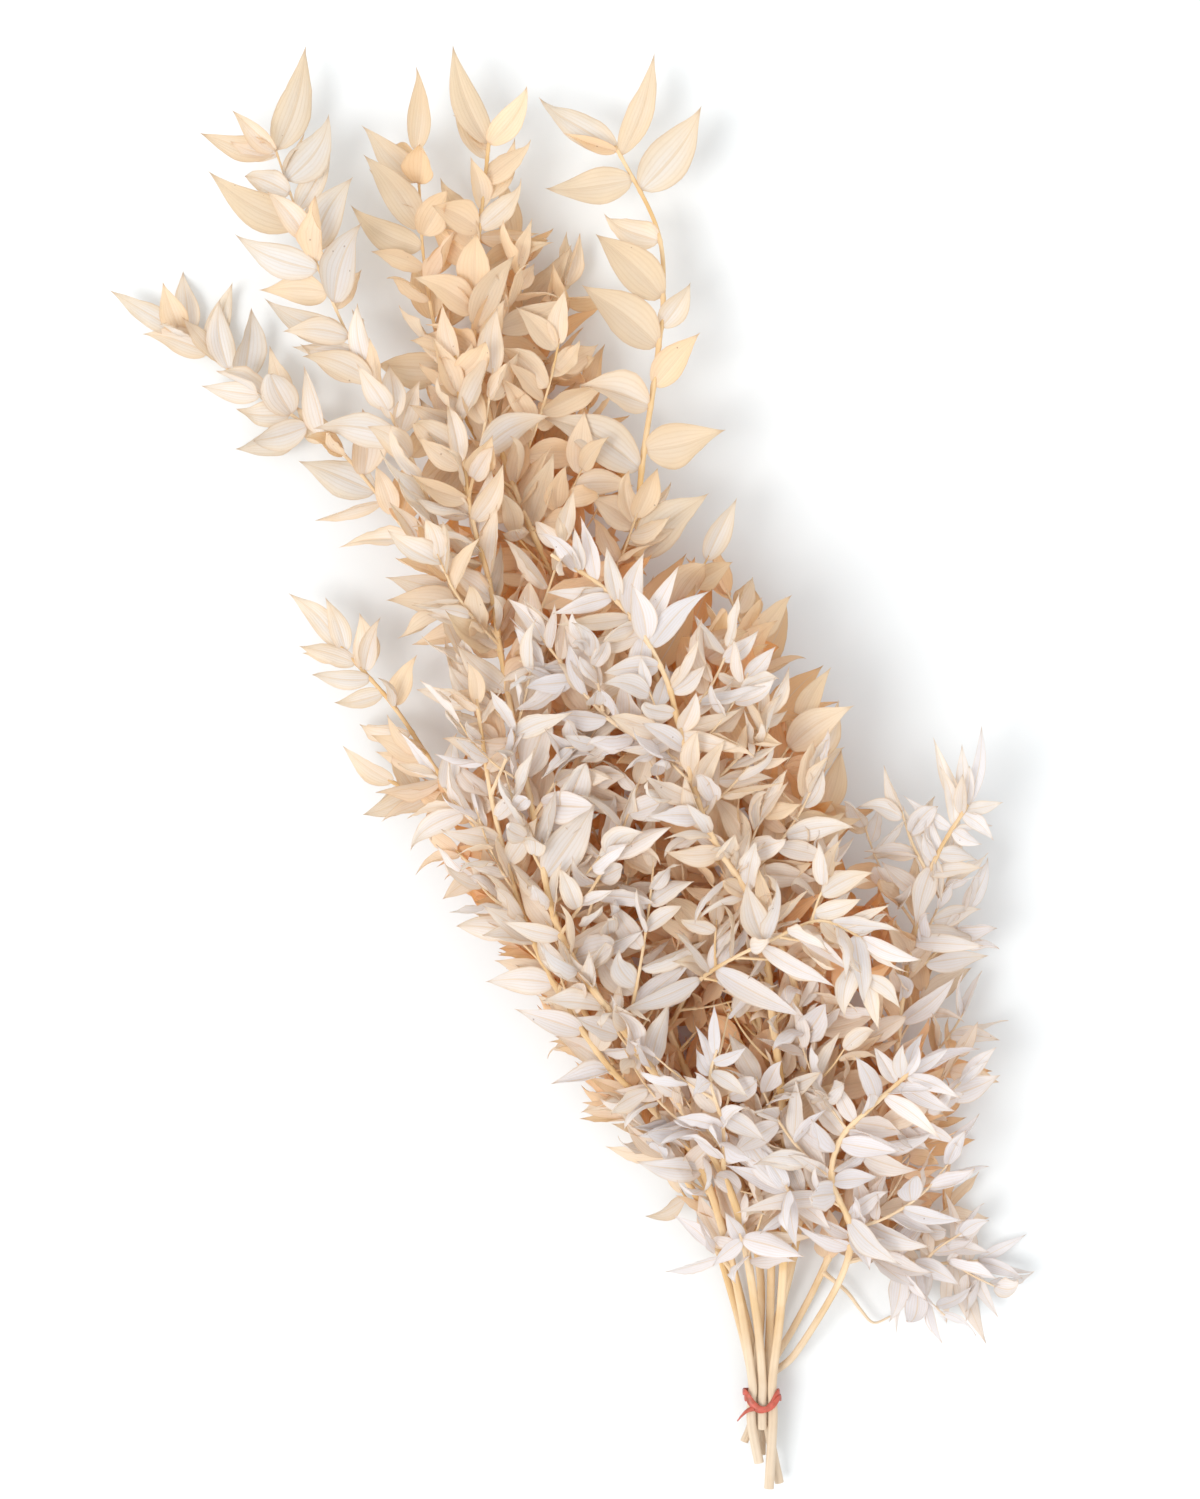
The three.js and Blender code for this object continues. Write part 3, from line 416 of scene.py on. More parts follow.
class Path:
    """A woody axis: the points it goes through, and the straight runs of its CAD solid."""

    def __init__(self, points, samples):
        self.points = np.array(points, float)
        count = (len(points) - 1) * samples
        self.runs = np.array([smooth_point(self.points, i / samples) for i in range(count + 1)])
        self.lengths = np.linalg.norm(np.diff(self.runs, axis=0), axis=1)
        self.length = float(self.lengths.sum())

    def from_tip(self, distance):
        """The point and direction at a distance back from the end, and its share of the way."""
        left = distance
        for i in range(len(self.runs) - 1, 0, -1):
            run = self.lengths[i - 1]
            if left <= run or i == 1:
                along = unit(self.runs[i] - self.runs[i - 1])
                back = min(left, run)
                return self.runs[i] - along * back, along, (i - back / run) / (len(self.runs) - 1)
            left -= run

    def smooth(self, share):
        """The point of the smooth curve at a share of the way from its start."""
        return smooth_point(self.points, share * (len(self.points) - 1))

    def straight(self, share):
        """The point of the straight runs at a share of the way from the start."""
        place = share * (len(self.runs) - 1)
        i = min(int(place), len(self.runs) - 2)
        return self.runs[i] + (self.runs[i + 1] - self.runs[i]) * (place - i)

    def nearest(self, x, y):
        """The place nearest to a point seen from above, as a distance back from the tip."""
        distances = range(int(self.length) + 1)
        gaps = []
        for distance in distances:
            point = self.from_tip(distance)[0]
            gaps.append(math.hypot(point[0] - x, point[1] - y))
        return distances[int(np.argmin(gaps))]

    def at_height(self, y):
        """The first place above the tie where the path reaches a height on the Y axis."""
        for low, high in zip(self.runs[:-1], self.runs[1:]):
            if low[1] <= y < high[1]:
                return low + (high - low) * (y - low[1]) / (high[1] - low[1])
        return self.runs[-1]


def seed_of(stem, axis):
    return SEEDS["stem"] * (stem + 1) + SEEDS["axis"] * axis


# ---- The woody axes ----

def main_path(stem):
    column, row = stem["slot"]
    x = TIE_X + column * BUNDLE_PITCH
    z = BUNDLE_LOW + row * BUNDLE_ROW
    bundle = [[x, TIE_Y + run, z] for run in (-TIE_HALF_RUN, 0, TIE_HALF_RUN)]
    return Path([stem["cut"], *bundle, *stem["path"]], STEM_SAMPLES)


def twig_path(main, twig):
    """A short side twig leaves its stem sideways and bends back towards the tips."""
    y, heading, length, rise = twig
    points = [main.at_height(y)]
    for share, climb in zip(TWIG_TURNS, TWIG_CLIMBS):
        turn = math.radians(heading * share)
        step = np.array([math.sin(turn), math.cos(turn), 0]) * length / len(TWIG_TURNS)
        points.append(points[-1] + step + np.array([0, 0, rise * climb]))
    return Path(points, TWIG_SAMPLES)


def axes_of(stem):
    """Every axis of a stem: the main one first, then its sprays and its twigs."""
    main = main_path(stem)
    axes = [{**stem, "path": main, "bare_to": stem.get("leafy_from", LEAFY_FROM), "kind": "main"}]
    for spray in stem.get("sprays", []):
        path = Path([main.at_height(spray["at"]), *spray["path"]], TWIG_SAMPLES)
        axes.append({**spray, "path": path, "kind": "spray"})
    for twig in stem.get("twigs", []):
        path = twig_path(main, twig)
        axes.append({"path": path, "leaf": stem["leaf"], "kind": "twig"})
    return axes


# The twigs that only the looks have: [first y, last y] on the main axis of each stem.
MORE_TWIGS = [
    [-225, -60], [-190, 60], [-205, 90], [-200, 120], [-190, 20],
    [-225, -160], [-235, -60], [-200, 0], [-215, -40], [-220, -60],
]
MORE_TWIG = {"heading": 38, "heading_spread": 16, "length": 46, "length_spread": 10, "rise": 12}
MORE_TWIG_GAP = 17
# On a spray, the spread of the length and the bend forwards are shares of the length.
SPRAY_TWIG = {
    "heading": 42, "heading_spread": 14, "length": 26, "length_spread": 0.3, "rise": 8, "bend": 0.12,
}
SPRAY_TWIG_GAP = 15
SPRAY_ROOT = 6  # the length at a spray's root that has no twigs
GAP_SPREAD = 0.3
MORE_TWIG_SEED, SPRAY_TWIG_SEED = 500, 700  # taken as an axis's number in its seed


def more_twigs(number, stem):
    """Short twigs on both sides of a stem in turn, which fill the middle of the bunch."""
    main = main_path(stem)
    first, last = MORE_TWIGS[number]
    draw = seeded_draw(seed_of(number, MORE_TWIG_SEED))
    twigs = []
    y, side = first, 1
    while y < last:
        heading = side * (MORE_TWIG["heading"] + vary(draw, MORE_TWIG["heading_spread"]))
        length = MORE_TWIG["length"] + vary(draw, MORE_TWIG["length_spread"])
        path = twig_path(main, [y, heading, length, vary(draw, MORE_TWIG["rise"])])
        twigs.append({"path": path, "leaf": stem["leaf"], "kind": "more"})
        side = -side
        y += MORE_TWIG_GAP * (1 + vary(draw, GAP_SPREAD))
    return twigs


# Twigs under the hollow, by stem: where each leaves it on Y, heading, length and rise.
LOW_TWIGS = {
    2: [[-178, 30, 46, -6], [-158, 38, 44, -10], [-140, 44, 42, -14], [-122, 40, 40, -16]],
    3: [[-172, -34, 46, -16], [-152, -38, 44, -20], [-134, -42, 42, -24]],
}


def low_twigs(number, stem):
    """Twigs that droop towards the surface, where it would show through the hollow."""
    main = main_path(stem)
    return [
        {"path": twig_path(main, twig), "leaf": stem["leaf"], "kind": "more"}
        for twig in LOW_TWIGS.get(number, [])
    ]


def side_twig(spray, distance, side, draw):
    """A small bent twig on one side of a spray, at a distance back from its tip."""
    point, along, _ = spray.from_tip(distance)
    heading = side * math.radians(SPRAY_TWIG["heading"] + vary(draw, SPRAY_TWIG["heading_spread"]))
    turn = math.atan2(along[0], along[1]) + heading
    length = SPRAY_TWIG["length"] * (1 + vary(draw, SPRAY_TWIG["length_spread"]))
    reach = np.array([math.sin(turn), math.cos(turn), 0]) * length
    lift = np.array([0, 0, vary(draw, SPRAY_TWIG["rise"])])
    bend = np.array([along[0], along[1], 0]) * length * SPRAY_TWIG["bend"]
    path = Path([point, point + reach / 2 + lift / 2, point + reach + lift + bend], TWIG_SAMPLES)
    return {"path": path, "leaf": SLIM, "kind": "more"}


def side_twigs(number, axes):
    """Small twigs on both sides of the sprays that carry slim leaves."""
    draw = seeded_draw(seed_of(number, SPRAY_TWIG_SEED))
    twigs = []
    for axis in axes:
        if axis["kind"] != "spray" or axis["leaf"] is not SLIM or "bare_to" in axis:
            continue
        side, distance = 1, SPRAY_TWIG_GAP
        while distance < axis["path"].length - SPRAY_ROOT:
            twigs.append(side_twig(axis["path"], distance, side, draw))
            side = -side
            distance += SPRAY_TWIG_GAP * (1 + vary(draw, GAP_SPREAD))
    return twigs


# ---- Where the leaves are, as in the CAD source ----

def leaf_point(leaf, u, v, half_width, off):
    """Points of a leaf: u runs from base to tip, v from edge to edge, off is out of its face."""
    u, v, half_width, off = (np.asarray(x, float).reshape(-1, 1) for x in (u, v, half_width, off))
    bend = leaf["curl"] * u
    radius = leaf["length"] / leaf["curl"]
    up = leaf["up"] * np.cos(bend) - leaf["along"] * np.sin(bend)
    turn = leaf["twist"] * u
    across = leaf["across"] * np.cos(turn) + up * np.sin(turn)
    normal = up * np.cos(turn) - leaf["across"] * np.sin(turn)
    ahead, lifted = leaf["along"] * radius * np.sin(bend), leaf["up"] * radius * (1 - np.cos(bend))
    spine = leaf["base"] + ahead + lifted
    level = across * v * half_width * math.cos(leaf["fold"])
    raised = normal * (np.abs(v) * half_width * math.sin(leaf["fold"]) + off)
    return spine + level + raised


def leaf_on_stem(base, along, upper, size, draw):
    """A leaf before it is turned to a clear place: its root, direction and upper side."""
    curl = FORM["curl"] + vary(draw, FORM["curl_spread"])
    curl += (FORM["more_curl"] if draw() < FORM["curled"] else FORM["less_curl"]) * draw()
    return {
        "base": base,
        "along": unit(along),
        "upper": upper,
        "length": size[0],
        "width": size[1],
        "curl": curl,
        "twist": vary(draw, FORM["twist_spread"]),
        "fold": FORM["fold"] + vary(draw, FORM["fold_spread"]),
    }


def directions(leaf):
    """A leaf's direction, the one across it and the one out of its face, before its roll."""
    across = unit(np.cross(leaf["upper"], leaf["along"]))
    return leaf["along"], across, np.cross(leaf["along"], across)


def turned_leaf(leaf, k):
    """The leaf in its try number k: each try may turn further from where it grows best."""
    draw, seek = leaf["draw"], leaf["seek"]
    reach = k / TRIES
    yaw = math.radians(vary(draw, seek["yaw"]) * reach)
    pitch = math.radians(vary(draw, seek["pitch"]) * reach)
    roll = math.radians(vary(draw, seek["roll"]) * reach + leaf["roll"])
    size = 1 - seek["shrink"] * reach * draw()
    along, across, up = directions(leaf)
    along = turned(turned(along, across, yaw), up, pitch)
    side = unit(np.cross(up, along))
    top = np.cross(along, side)
    return {
        **leaf,
        "along": along,
        "across": turned(side, top, roll),
        "up": turned(top, -side, roll),
        "length": leaf["length"] * size,
        "width": leaf["width"] * size,
    }


def placed_leaves(axis, seed):
    """The leaves whose place is known from above."""
    leaves = []
    for i, (base_x, base_y, tip_x, tip_y, width) in enumerate(axis.get("placed", [])):
        draw = seeded_draw(seed + SEEDS["placed"] * i)
        distance = max(TERMINAL_ROOT, axis["path"].nearest(base_x, base_y))
        point, _, share = axis["path"].from_tip(distance)
        reach = math.hypot(tip_x - point[0], tip_y - point[1])
        lift = vary(draw, PLACED["lift"])
        along = np.array([tip_x - point[0], tip_y - point[1], reach * lift])
        size = (np.linalg.norm(along), width)
        leaf = leaf_on_stem(point, along, UP, size, draw)
        leaf.update(roll=vary(draw, PLACED["roll"]), seek=SEEK_PLACED)
        leaves.append({**leaf, "draw": draw, "solid": True, "share": share})
    return leaves


BETWEEN_SEED = 71


def between_leaves(axis, seed):
    """Leaves that only the looks have, between the others of all but the broad-leaved stem."""
    if axis["leaf"] is BROAD:
        return []
    return grown_leaves({**axis, "placed": []}, seed + BETWEEN_SEED, SLIM["pitch"] / 2)


def grown_leaves(axis, seed, first=0):
    """The rest of the leaves: left and right in turn, from the tip down to the bare wood."""
    leaves = []
    path = axis["path"]
    known = [path.nearest(x, y) for x, y, *_ in axis.get("placed", [])]
    facing = vary(seeded_draw(seed + SEEDS["facing"]), 1)
    start = max(known) + axis["leaf"]["pitch"] * GROWTH["below_placed"] if known else first
    distance, i = start, 0
    while distance < path.length - GROWTH["bare_root"]:
        draw = seeded_draw(seed + SEEDS["grown"] * i + SEEDS["first_grown"])
        point, along, share = path.from_tip(distance)
        if point[1] < axis.get("bare_to", -math.inf):
            break
        kind = SLIM if point[1] < SLIM_BELOW else axis["leaf"]
        terminal = i == 0 and start == 0
        angle = GROWTH["terminal_angle"]
        if not terminal:
            angle = kind["angle"] + vary(draw, GROWTH["angle_spread"])
        tilt = math.radians(kind["lift"] * GROWTH["facing"] * facing + vary(draw, kind["lift"]))
        level = unit(UP - along * along[2])
        upper = turned(level, np.cross(along, level), tilt)
        side = np.cross(along, upper) * (1 if i % 2 else -1)
        heading = turned(along, side, math.radians(angle))
        age = min(1, distance / GROWTH["full_size_at"])
        grown = GROWTH["tip_size"] + (1 - GROWTH["tip_size"]) * age
        grown *= 1 + vary(draw, GROWTH["size_spread"])
        width = kind["width"] * grown * (1 + vary(draw, GROWTH["width_spread"]))
        base = point - along * TERMINAL_ROOT if terminal else point
        leaf = leaf_on_stem(base, heading, upper, (kind["length"] * grown, width), draw)
        leaf.update(roll=vary(draw, kind["roll"]), seek=SEEK)
        solid = terminal or i % SOLID_LEAVES["of"] in SOLID_LEAVES["which"]
        leaves.append({**leaf, "draw": draw, "solid": solid, "share": share})
        distance += kind["pitch"] * (1 + vary(draw, GROWTH["pitch_spread"]))
        i += 1
    return leaves


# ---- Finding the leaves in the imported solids, and room for the others ----

def frame_shift():
    """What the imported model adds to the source's own coordinates, from the tie band's box."""
    inner = BUNDLE_PITCH + BUNDLE_STEM_RADIUS + BAND_GAP + BAND_TURN_STEP
    corner = [TIE_X + inner + BAND_THICKNESS, TIE_Y + BAND_CROSS * inner + BAND_WIDTH / 2]
    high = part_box("tie_band")[1]
    return np.array([high.x / MM - corner[0], high.y / MM - corner[1], 0])


SHIFT = frame_shift()
TIP_MATCH = 0.05  # how near a solid's corner is to the tip of the leaf that it belongs to

# The outline of a leaf: its widest place and how its half width falls to the base and the tip.
WIDEST = 0.36
BASE_FALL = 0.8
TIP_FALL = BASE_FALL * (1 - WIDEST) / WIDEST
BLADE_FROM = 0.05  # the blade is fully open from this share of the length on
OPENING = 1.5
STALK_HALF_WIDTH = 0.5
STALK_RUN = 0.2  # the share of the length over which the stalk fades into the blade


def half_width(leaf, u):
    """Half the width of a leaf at the share u of its length."""
    u = np.asarray(u, float)
    body = (u / WIDEST) ** BASE_FALL * ((1 - u) / (1 - WIDEST)) ** TIP_FALL
    opened = np.clip(u / BLADE_FROM, 0, 1) ** OPENING
    stalk = STALK_HALF_WIDTH * np.clip(1 - u / STALK_RUN, 0, 1)
    return leaf["width"] / 2 * body * opened + stalk


SHEET_ROWS = [0.14, 0.36, 0.6, 0.84]
SHEET_U = np.repeat(SHEET_ROWS, 3)
SHEET_V = np.tile([-1.0, 0.0, 1.0], len(SHEET_ROWS))


class Room:
    """The leaves and wood set so far, to find out whether a new leaf would cross them."""

    def __init__(self):
        self.low = np.zeros((0, 3))
        self.high = np.zeros((0, 3))
        self.trees = []
        self.owners = []

    def add(self, points, faces, owner):
        self.low = np.vstack([self.low, points.min(axis=0)])
        self.high = np.vstack([self.high, points.max(axis=0)])
        self.trees.append(BVHTree.FromPolygons(points.tolist(), faces))
        self.owners.append(owner)

    def clear(self, points, faces, owner):
        near = np.all((self.low <= points.max(axis=0)) & (self.high >= points.min(axis=0)), axis=1)
        tree = BVHTree.FromPolygons(points.tolist(), faces)
        return not any(
            self.owners[i] != owner and self.trees[i].overlap(tree) for i in np.flatnonzero(near)
        )


def sheet_faces():
    """The faces of a leaf's coarse sheet: rows of three points, and the tip."""
    tip = 3 * len(SHEET_ROWS)
    corners = [3 * row + column for row in range(len(SHEET_ROWS) - 1) for column in range(2)]
    faces = [(a, a + 3, a + 4, a + 1) for a in corners]
    return faces + [(tip - 3, tip, tip - 2), (tip - 2, tip, tip - 1)]


SHEET_FACES = sheet_faces()


def sheet_points(leaf, share=1):
    """A coarse sheet for a leaf, or for the middle share of its width."""
    body = leaf_point(leaf, SHEET_U, SHEET_V, half_width(leaf, SHEET_U) * share, 0)
    return np.vstack([body, leaf_point(leaf, 1, 0, 0, 0)])


ROD_RADIUS, ROD_SIDES = 0.7, 3  # the coarse rods that stand for the wood
ROD_DEPTH = 0.5  # how deep a rod is along Y, as a share of its radius


def wall_faces(rings, sides, closed=False):
    """The faces of a tube's wall; a closed one also joins its last ring to its first."""
    faces = []
    for ring in range(rings if closed else rings - 1):
        near, far = ring * sides, (ring + 1) % rings * sides
        for k in range(sides):
            after = (k + 1) % sides
            faces.append((near + k, near + after, far + after, far + k))
    return faces


def rod_points(path):
    """A coarse three-sided rod along a path, for telling what would cross it."""
    corners = []
    for k in range(ROD_SIDES):
        angle = 2 * math.pi * k / ROD_SIDES
        flat = [math.cos(angle), ROD_DEPTH * math.sin(angle), math.sin(angle)]
        corners.append(ROD_RADIUS * np.array(flat))
    points = [point + corner for point in path.runs for corner in corners]
    return np.array(points), wall_faces(len(path.runs), ROD_SIDES)


def node_name(stem):
    return f"leafy_stem_{stem + 1:02d}"


def solid_tips(stem):
    """The corners of a packed leafy stem, in the source's coordinates."""
    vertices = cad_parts[node_name(stem)].data.vertices
    tree = KDTree(len(vertices))
    for i, vertex in enumerate(vertices):
        tree.insert(Vector(np.array(vertex.co) / MM - SHIFT), i)
    tree.balance()
    return tree


def as_packed(leaf, tips):
    """The leaf as its solid has it, or None where the CAD had no room for one."""
    for k in range(TRIES):
        candidate = turned_leaf(leaf, k)
        tip = leaf_point(candidate, 1, 0, 0, 0)[0]
        if tips.find(Vector(tip))[2] < TIP_MATCH:
            return candidate
    return None


FLOOR_GAP = 0.5  # the least height of an added leaf
# What an added leaf's form may gain. Its roll and its width are multiplied instead.
LOOSE = {"yaw": 24, "pitch": 34, "curl": 1.3, "twist": 0.8, "fold": 0.5, "shrink": 0.26}
LOOSE_ROLL, LOOSE_WIDTH = 1.9, 1.22
OWN_SHARE = 0.4  # how much of a leaf's width has to be clear of the others


def loosened(leaf):
    """A leaf that has no solid lies less evenly on its twig, and is more curled."""
    draw = leaf["draw"]
    along, across, up = directions(leaf)
    along = turned(along, across, math.radians(vary(draw, LOOSE["yaw"])))
    size = 1 - LOOSE["shrink"] * draw()
    return {
        **leaf,
        "along": turned(along, up, math.radians(vary(draw, LOOSE["pitch"]))),
        "length": leaf["length"] * size,
        "width": leaf["width"] * size * LOOSE_WIDTH,
        "roll": leaf["roll"] * LOOSE_ROLL,
        "curl": leaf["curl"] + LOOSE["curl"] * draw() ** 3,
        "twist": leaf["twist"] + vary(draw, LOOSE["twist"]),
        "fold": leaf["fold"] + LOOSE["fold"] * draw() ** 2,
    }


# Where the bunch opens on its bare stems: a middle, two half widths and its lowest height.
HOLLOW = {"x": 48, "y": -130, "half_x": 27, "half_y": 22, "z": 31}


def spot_distance(spot, x, y):
    """How far a place seen from above is from the middle of a spot: 1 at the spot's rim."""
    return math.hypot((x - spot["x"]) / spot["half_x"], (y - spot["y"]) / spot["half_y"])


def middle_of(leaf):
    return leaf_point(leaf, 0.5, 0, 0, 0)[0]


def in_hollow(leaf):
    """Whether a leaf would cover the place where the bunch is open."""
    x, y, z = middle_of(leaf)
    return z > HOLLOW["z"] and spot_distance(HOLLOW, x, y) < 1


# The length of main axis that no added leaf covers, from one height on Y to another, by stem.
BARE_RUNS = {0: (-150, 12), 1: (36, 165), 3: (66, 160)}
CURTAIN = {"steps": 8, "start": 2.5, "height": 60}


def curtain(path, first, last):
    """An upright strip over a length of an axis, which the leaves may not cross."""
    points, faces = [], []
    for step in range(CURTAIN["steps"] + 1):
        place = path.at_height(first + (last - first) * step / CURTAIN["steps"])
        points.append(place + np.array([0, 0, CURTAIN["start"]]))
        points.append(place + np.array([0, 0, CURTAIN["height"]]))
        if step:
            faces.append((2 * step - 2, 2 * step, 2 * step + 1, 2 * step - 1))
    return np.array(points), faces


def with_room(leaf, room, bare, owner):
    """The first try of the leaf that is above the surface and crosses nothing, or None."""
    leaf = loosened(leaf)
    for k in range(TRIES):
        candidate = turned_leaf(leaf, k)
        points = sheet_points(candidate, OWN_SHARE)
        if points[:, 2].min() < FLOOR_GAP or in_hollow(candidate):
            continue
        if not bare.clear(sheet_points(candidate), SHEET_FACES, None):
            continue
        if room.clear(points, SHEET_FACES, owner):
            return candidate
    return None


def set_leaves(stem_axes):
    """Every leaf of the bunch, as a list for each axis of each stem."""
    room, bare = Room(), Room()
    found, waiting = {}, []

    def keep(owner, leaf):
        room.add(sheet_points(leaf), SHEET_FACES, None)
        found.setdefault(owner, []).append(leaf)

    for stem, axes in enumerate(stem_axes):
        for number, axis in enumerate(axes):
            room.add(*rod_points(axis["path"]), (stem, number))
    for stem, (first, last) in BARE_RUNS.items():
        bare.add(*curtain(stem_axes[stem][0]["path"], first, last), stem)
    for leaves_of in (placed_leaves, grown_leaves, between_leaves):
        for stem, axes in enumerate(stem_axes):
            tips = solid_tips(stem)
            for number, axis in enumerate(axes):
                in_cad = axis["kind"] != "more" and leaves_of is not between_leaves
                for leaf in leaves_of(axis, seed_of(stem, number)):
                    packed = as_packed(leaf, tips) if in_cad and leaf["solid"] else None
                    if packed:
                        keep((stem, number), packed)
                    else:
                        waiting.append(((stem, number), leaf))
    for owner, leaf in waiting:
        placed = with_room(leaf, room, bare, owner)
        if placed:
            keep(owner, placed)
    return found


# ---- Meshes ----

def new_object(name, data):
    """A new object of the scene."""
    made = bpy.data.objects.new(name, data)
    bpy.context.scene.collection.objects.link(made)
    return made


class Shape:
    """Vertices, faces and what the materials read, gathered for one piece."""

    def __init__(self):
        self.points, self.faces, self.uv, self.values = [], [], [], {}
        self.count = 0

    def add(self, points, faces, uv=None, **values):
        """Adds points and their faces; without a uv the whole shape has one colour."""
        self.points.append(points)
        self.faces.extend(tuple(self.count + i for i in face) for face in faces)
        self.uv.append(np.zeros((len(points), 2)) if uv is None else uv)
        for name, value in values.items():
            column = np.broadcast_to(np.asarray(value, float), len(points))
            self.values.setdefault(name, []).append(column)
        self.count += len(points)

    def build(self, name, material, sharp=50):
        """The shape as an object; an edge that turns more than sharp degrees is a crease."""
        mesh = bpy.data.meshes.new(name)
        points = (np.vstack(self.points) + SHIFT) * MM
        mesh.from_pydata(points.tolist(), [], self.faces)
        for key, columns in self.values.items():
            attribute = mesh.attributes.new(key, "FLOAT", "POINT")
            attribute.data.foreach_set("value", np.concatenate(columns).astype(np.float32))
        corners = np.zeros(len(mesh.loops), np.int32)
        mesh.loops.foreach_get("vertex_index", corners)
        layer = mesh.uv_layers.new(name="surface")
        layer.data.foreach_set("uv", np.vstack(self.uv)[corners].astype(np.float32).ravel())
        mesh.shade_smooth()
        mesh.set_sharp_from_angle(angle=math.radians(sharp))
        mesh.materials.append(material)
        mesh.validate()
        return new_object(name, mesh)


FINE_ROWS = (0.02, 0.05, 0.1, 0.165, 0.24, 0.32, 0.4, 0.48, 0.56, 0.64, 0.72, 0.8, 0.87, 0.93, 0.975)
FINE_COLUMNS = (-1, -0.74, -0.44, -0.13, 0, 0.13, 0.44, 0.74, 1)
PLAIN_ROWS = (0.05, 0.14, 0.27, 0.41, 0.56, 0.7, 0.83, 0.94)
PLAIN_COLUMNS = (-1, -0.5, 0, 0.5, 1)
PLAIN_DEPTH = 0.45  # leaves that lie deeper than this take the plain pattern


def blade_pattern(rows, columns):
    """A blade's vertices as (u, v, side), and its faces: two skins that meet at the rim."""
    places = [(0, 0, 0), (1, 0, 0)]
    top, under = [], []
    for u in rows:
        row = []
        for v in columns:
            row.append(len(places))
            places.append((u, v, 0 if abs(v) == 1 else 1))
        low = [row[0]]
        for v in columns[1:-1]:
            low.append(len(places))
            places.append((u, v, -1))
        top.append(row)
        under.append(low + [row[-1]])
    faces = []
    for skin, outward in ((top, True), (under, False)):
        for c in range(len(columns) - 1):
            strip = [(0, skin[0][c], skin[0][c + 1]), (skin[-1][c], 1, skin[-1][c + 1])]
            for near, far in zip(skin[:-1], skin[1:]):
                strip.append((near[c], far[c], far[c + 1], near[c + 1]))
            faces += strip if outward else [face[::-1] for face in strip]
    return np.array(places, float), faces


FINE_BLADE = blade_pattern(FINE_ROWS, FINE_COLUMNS)
PLAIN_BLADE = blade_pattern(PLAIN_ROWS, PLAIN_COLUMNS)
BLADE_HALF_THICKNESS = 0.13
RIB_HALF_THICKNESS, RIB_REACH = 0.26, 0.12
LOWEST = 0.25  # above the surface, for everything that lies on it
SKIN_GAP = 0.1  # from the middle of a blade that is pressed on the surface to its skins

# How a blade differs from its flat leaf. Each pair is the least and what a draw adds to it, or
# the mean and its spread. Angles are in radians, waves and frills are counted over the length,
# and the rest are shares of width or length.
FOLD_MORE, FOLD_POWER = (0.06, 0.42), 1.6
TWIST_SPREAD = 0.45
WAVES = (0.8, 1.6)
WAVE_SWING = (0.02, 0.10)
CUP_SPREAD = 0.2
HOOK, HOOK_FROM = (0.02, 0.14), 0.6
BOW_SPREAD = 0.08
FRILL, FRILLS, FRILL_PHASE = 0.022, (3, 3), 6


def blade_points(leaf, places, offset, draw):
    """The vertices of a leaf's blade, with its own fold, twist, waves, hook and frill."""
    u, v, side = places.T
    half = half_width(leaf, u)
    half[:2] = 0
    fold = leaf["fold"] + FOLD_MORE[0] + FOLD_MORE[1] * draw() ** FOLD_POWER
    leaf = {**leaf, "fold": fold, "twist": leaf["twist"] + vary(draw, TWIST_SPREAD)}
    rib = RIB_HALF_THICKNESS * np.exp(-((v / RIB_REACH) ** 2)) * (1 - u) ** 0.5
    skin = BLADE_HALF_THICKNESS * (1 - v**2) + rib
    arch = np.sin(math.pi * u)
    waves = WAVES[0] + WAVES[1] * draw()
    swing = leaf["width"] * (WAVE_SWING[0] + WAVE_SWING[1] * draw() ** 2)
    phase = 2 * math.pi * draw()
    skew = math.pi * draw()
    ripple = swing * v**2 * arch * np.sin(2 * math.pi * waves * u + phase + skew * np.sign(v))
    cup = leaf["width"] * vary(draw, CUP_SPREAD) * v**2 * arch
    end = np.clip((u - HOOK_FROM) / (1 - HOOK_FROM), 0, 1)
    hook = leaf["length"] * (HOOK[0] + vary(draw, HOOK[1])) * end**2
    bow = leaf["length"] * vary(draw, BOW_SPREAD) * arch
    turns = 2 * math.pi * (FRILLS[0] + FRILLS[1] * draw())
    frill = leaf["width"] * FRILL * v**4 * np.sin(turns * u + FRILL_PHASE * draw() + v)
    points = leaf_point(leaf, u, v, half, side * skin + ripple + cup + hook + frill * arch)
    points += offset * ((1 - u) ** 2)[:, None] + leaf["across"] * bow[:, None]
    points[:, 2] = np.maximum(points[:, 2], LOWEST + SKIN_GAP * side)
    return points


CANOPY_CELL = 9.0
CANOPY_DEEP = 42.0  # a leaf this far under the top counts as deepest


class Canopy:
    """How high the bunch reaches over each place, and how deep a leaf lies under that."""

    def __init__(self, found):
        self.tops = {}
        for leaves in found.values():
            for leaf in leaves:
                for point in sheet_points(leaf):
                    cell = self.cell(point)
                    self.tops[cell] = max(self.tops.get(cell, 0), point[2])

    @staticmethod
    def cell(point):
        return int(point[0] // CANOPY_CELL), int(point[1] // CANOPY_CELL)

    def depth(self, leaf):
        """0 for a leaf on top and 1 for one deep inside."""
        middle = middle_of(leaf)
        column, row = self.cell(middle)
        around = [
            self.tops.get((column + i, row + j), middle[2]) for i in (-1, 0, 1) for j in (-1, 0, 1)
        ]
        cover = (sum(around) / len(around) + min(around)) / 2
        return min(1.0, max(0.0, cover - middle[2]) / CANOPY_DEEP)


BIG_LEAF = 37  # the longest leaves of the upper half are darker, as painted shade
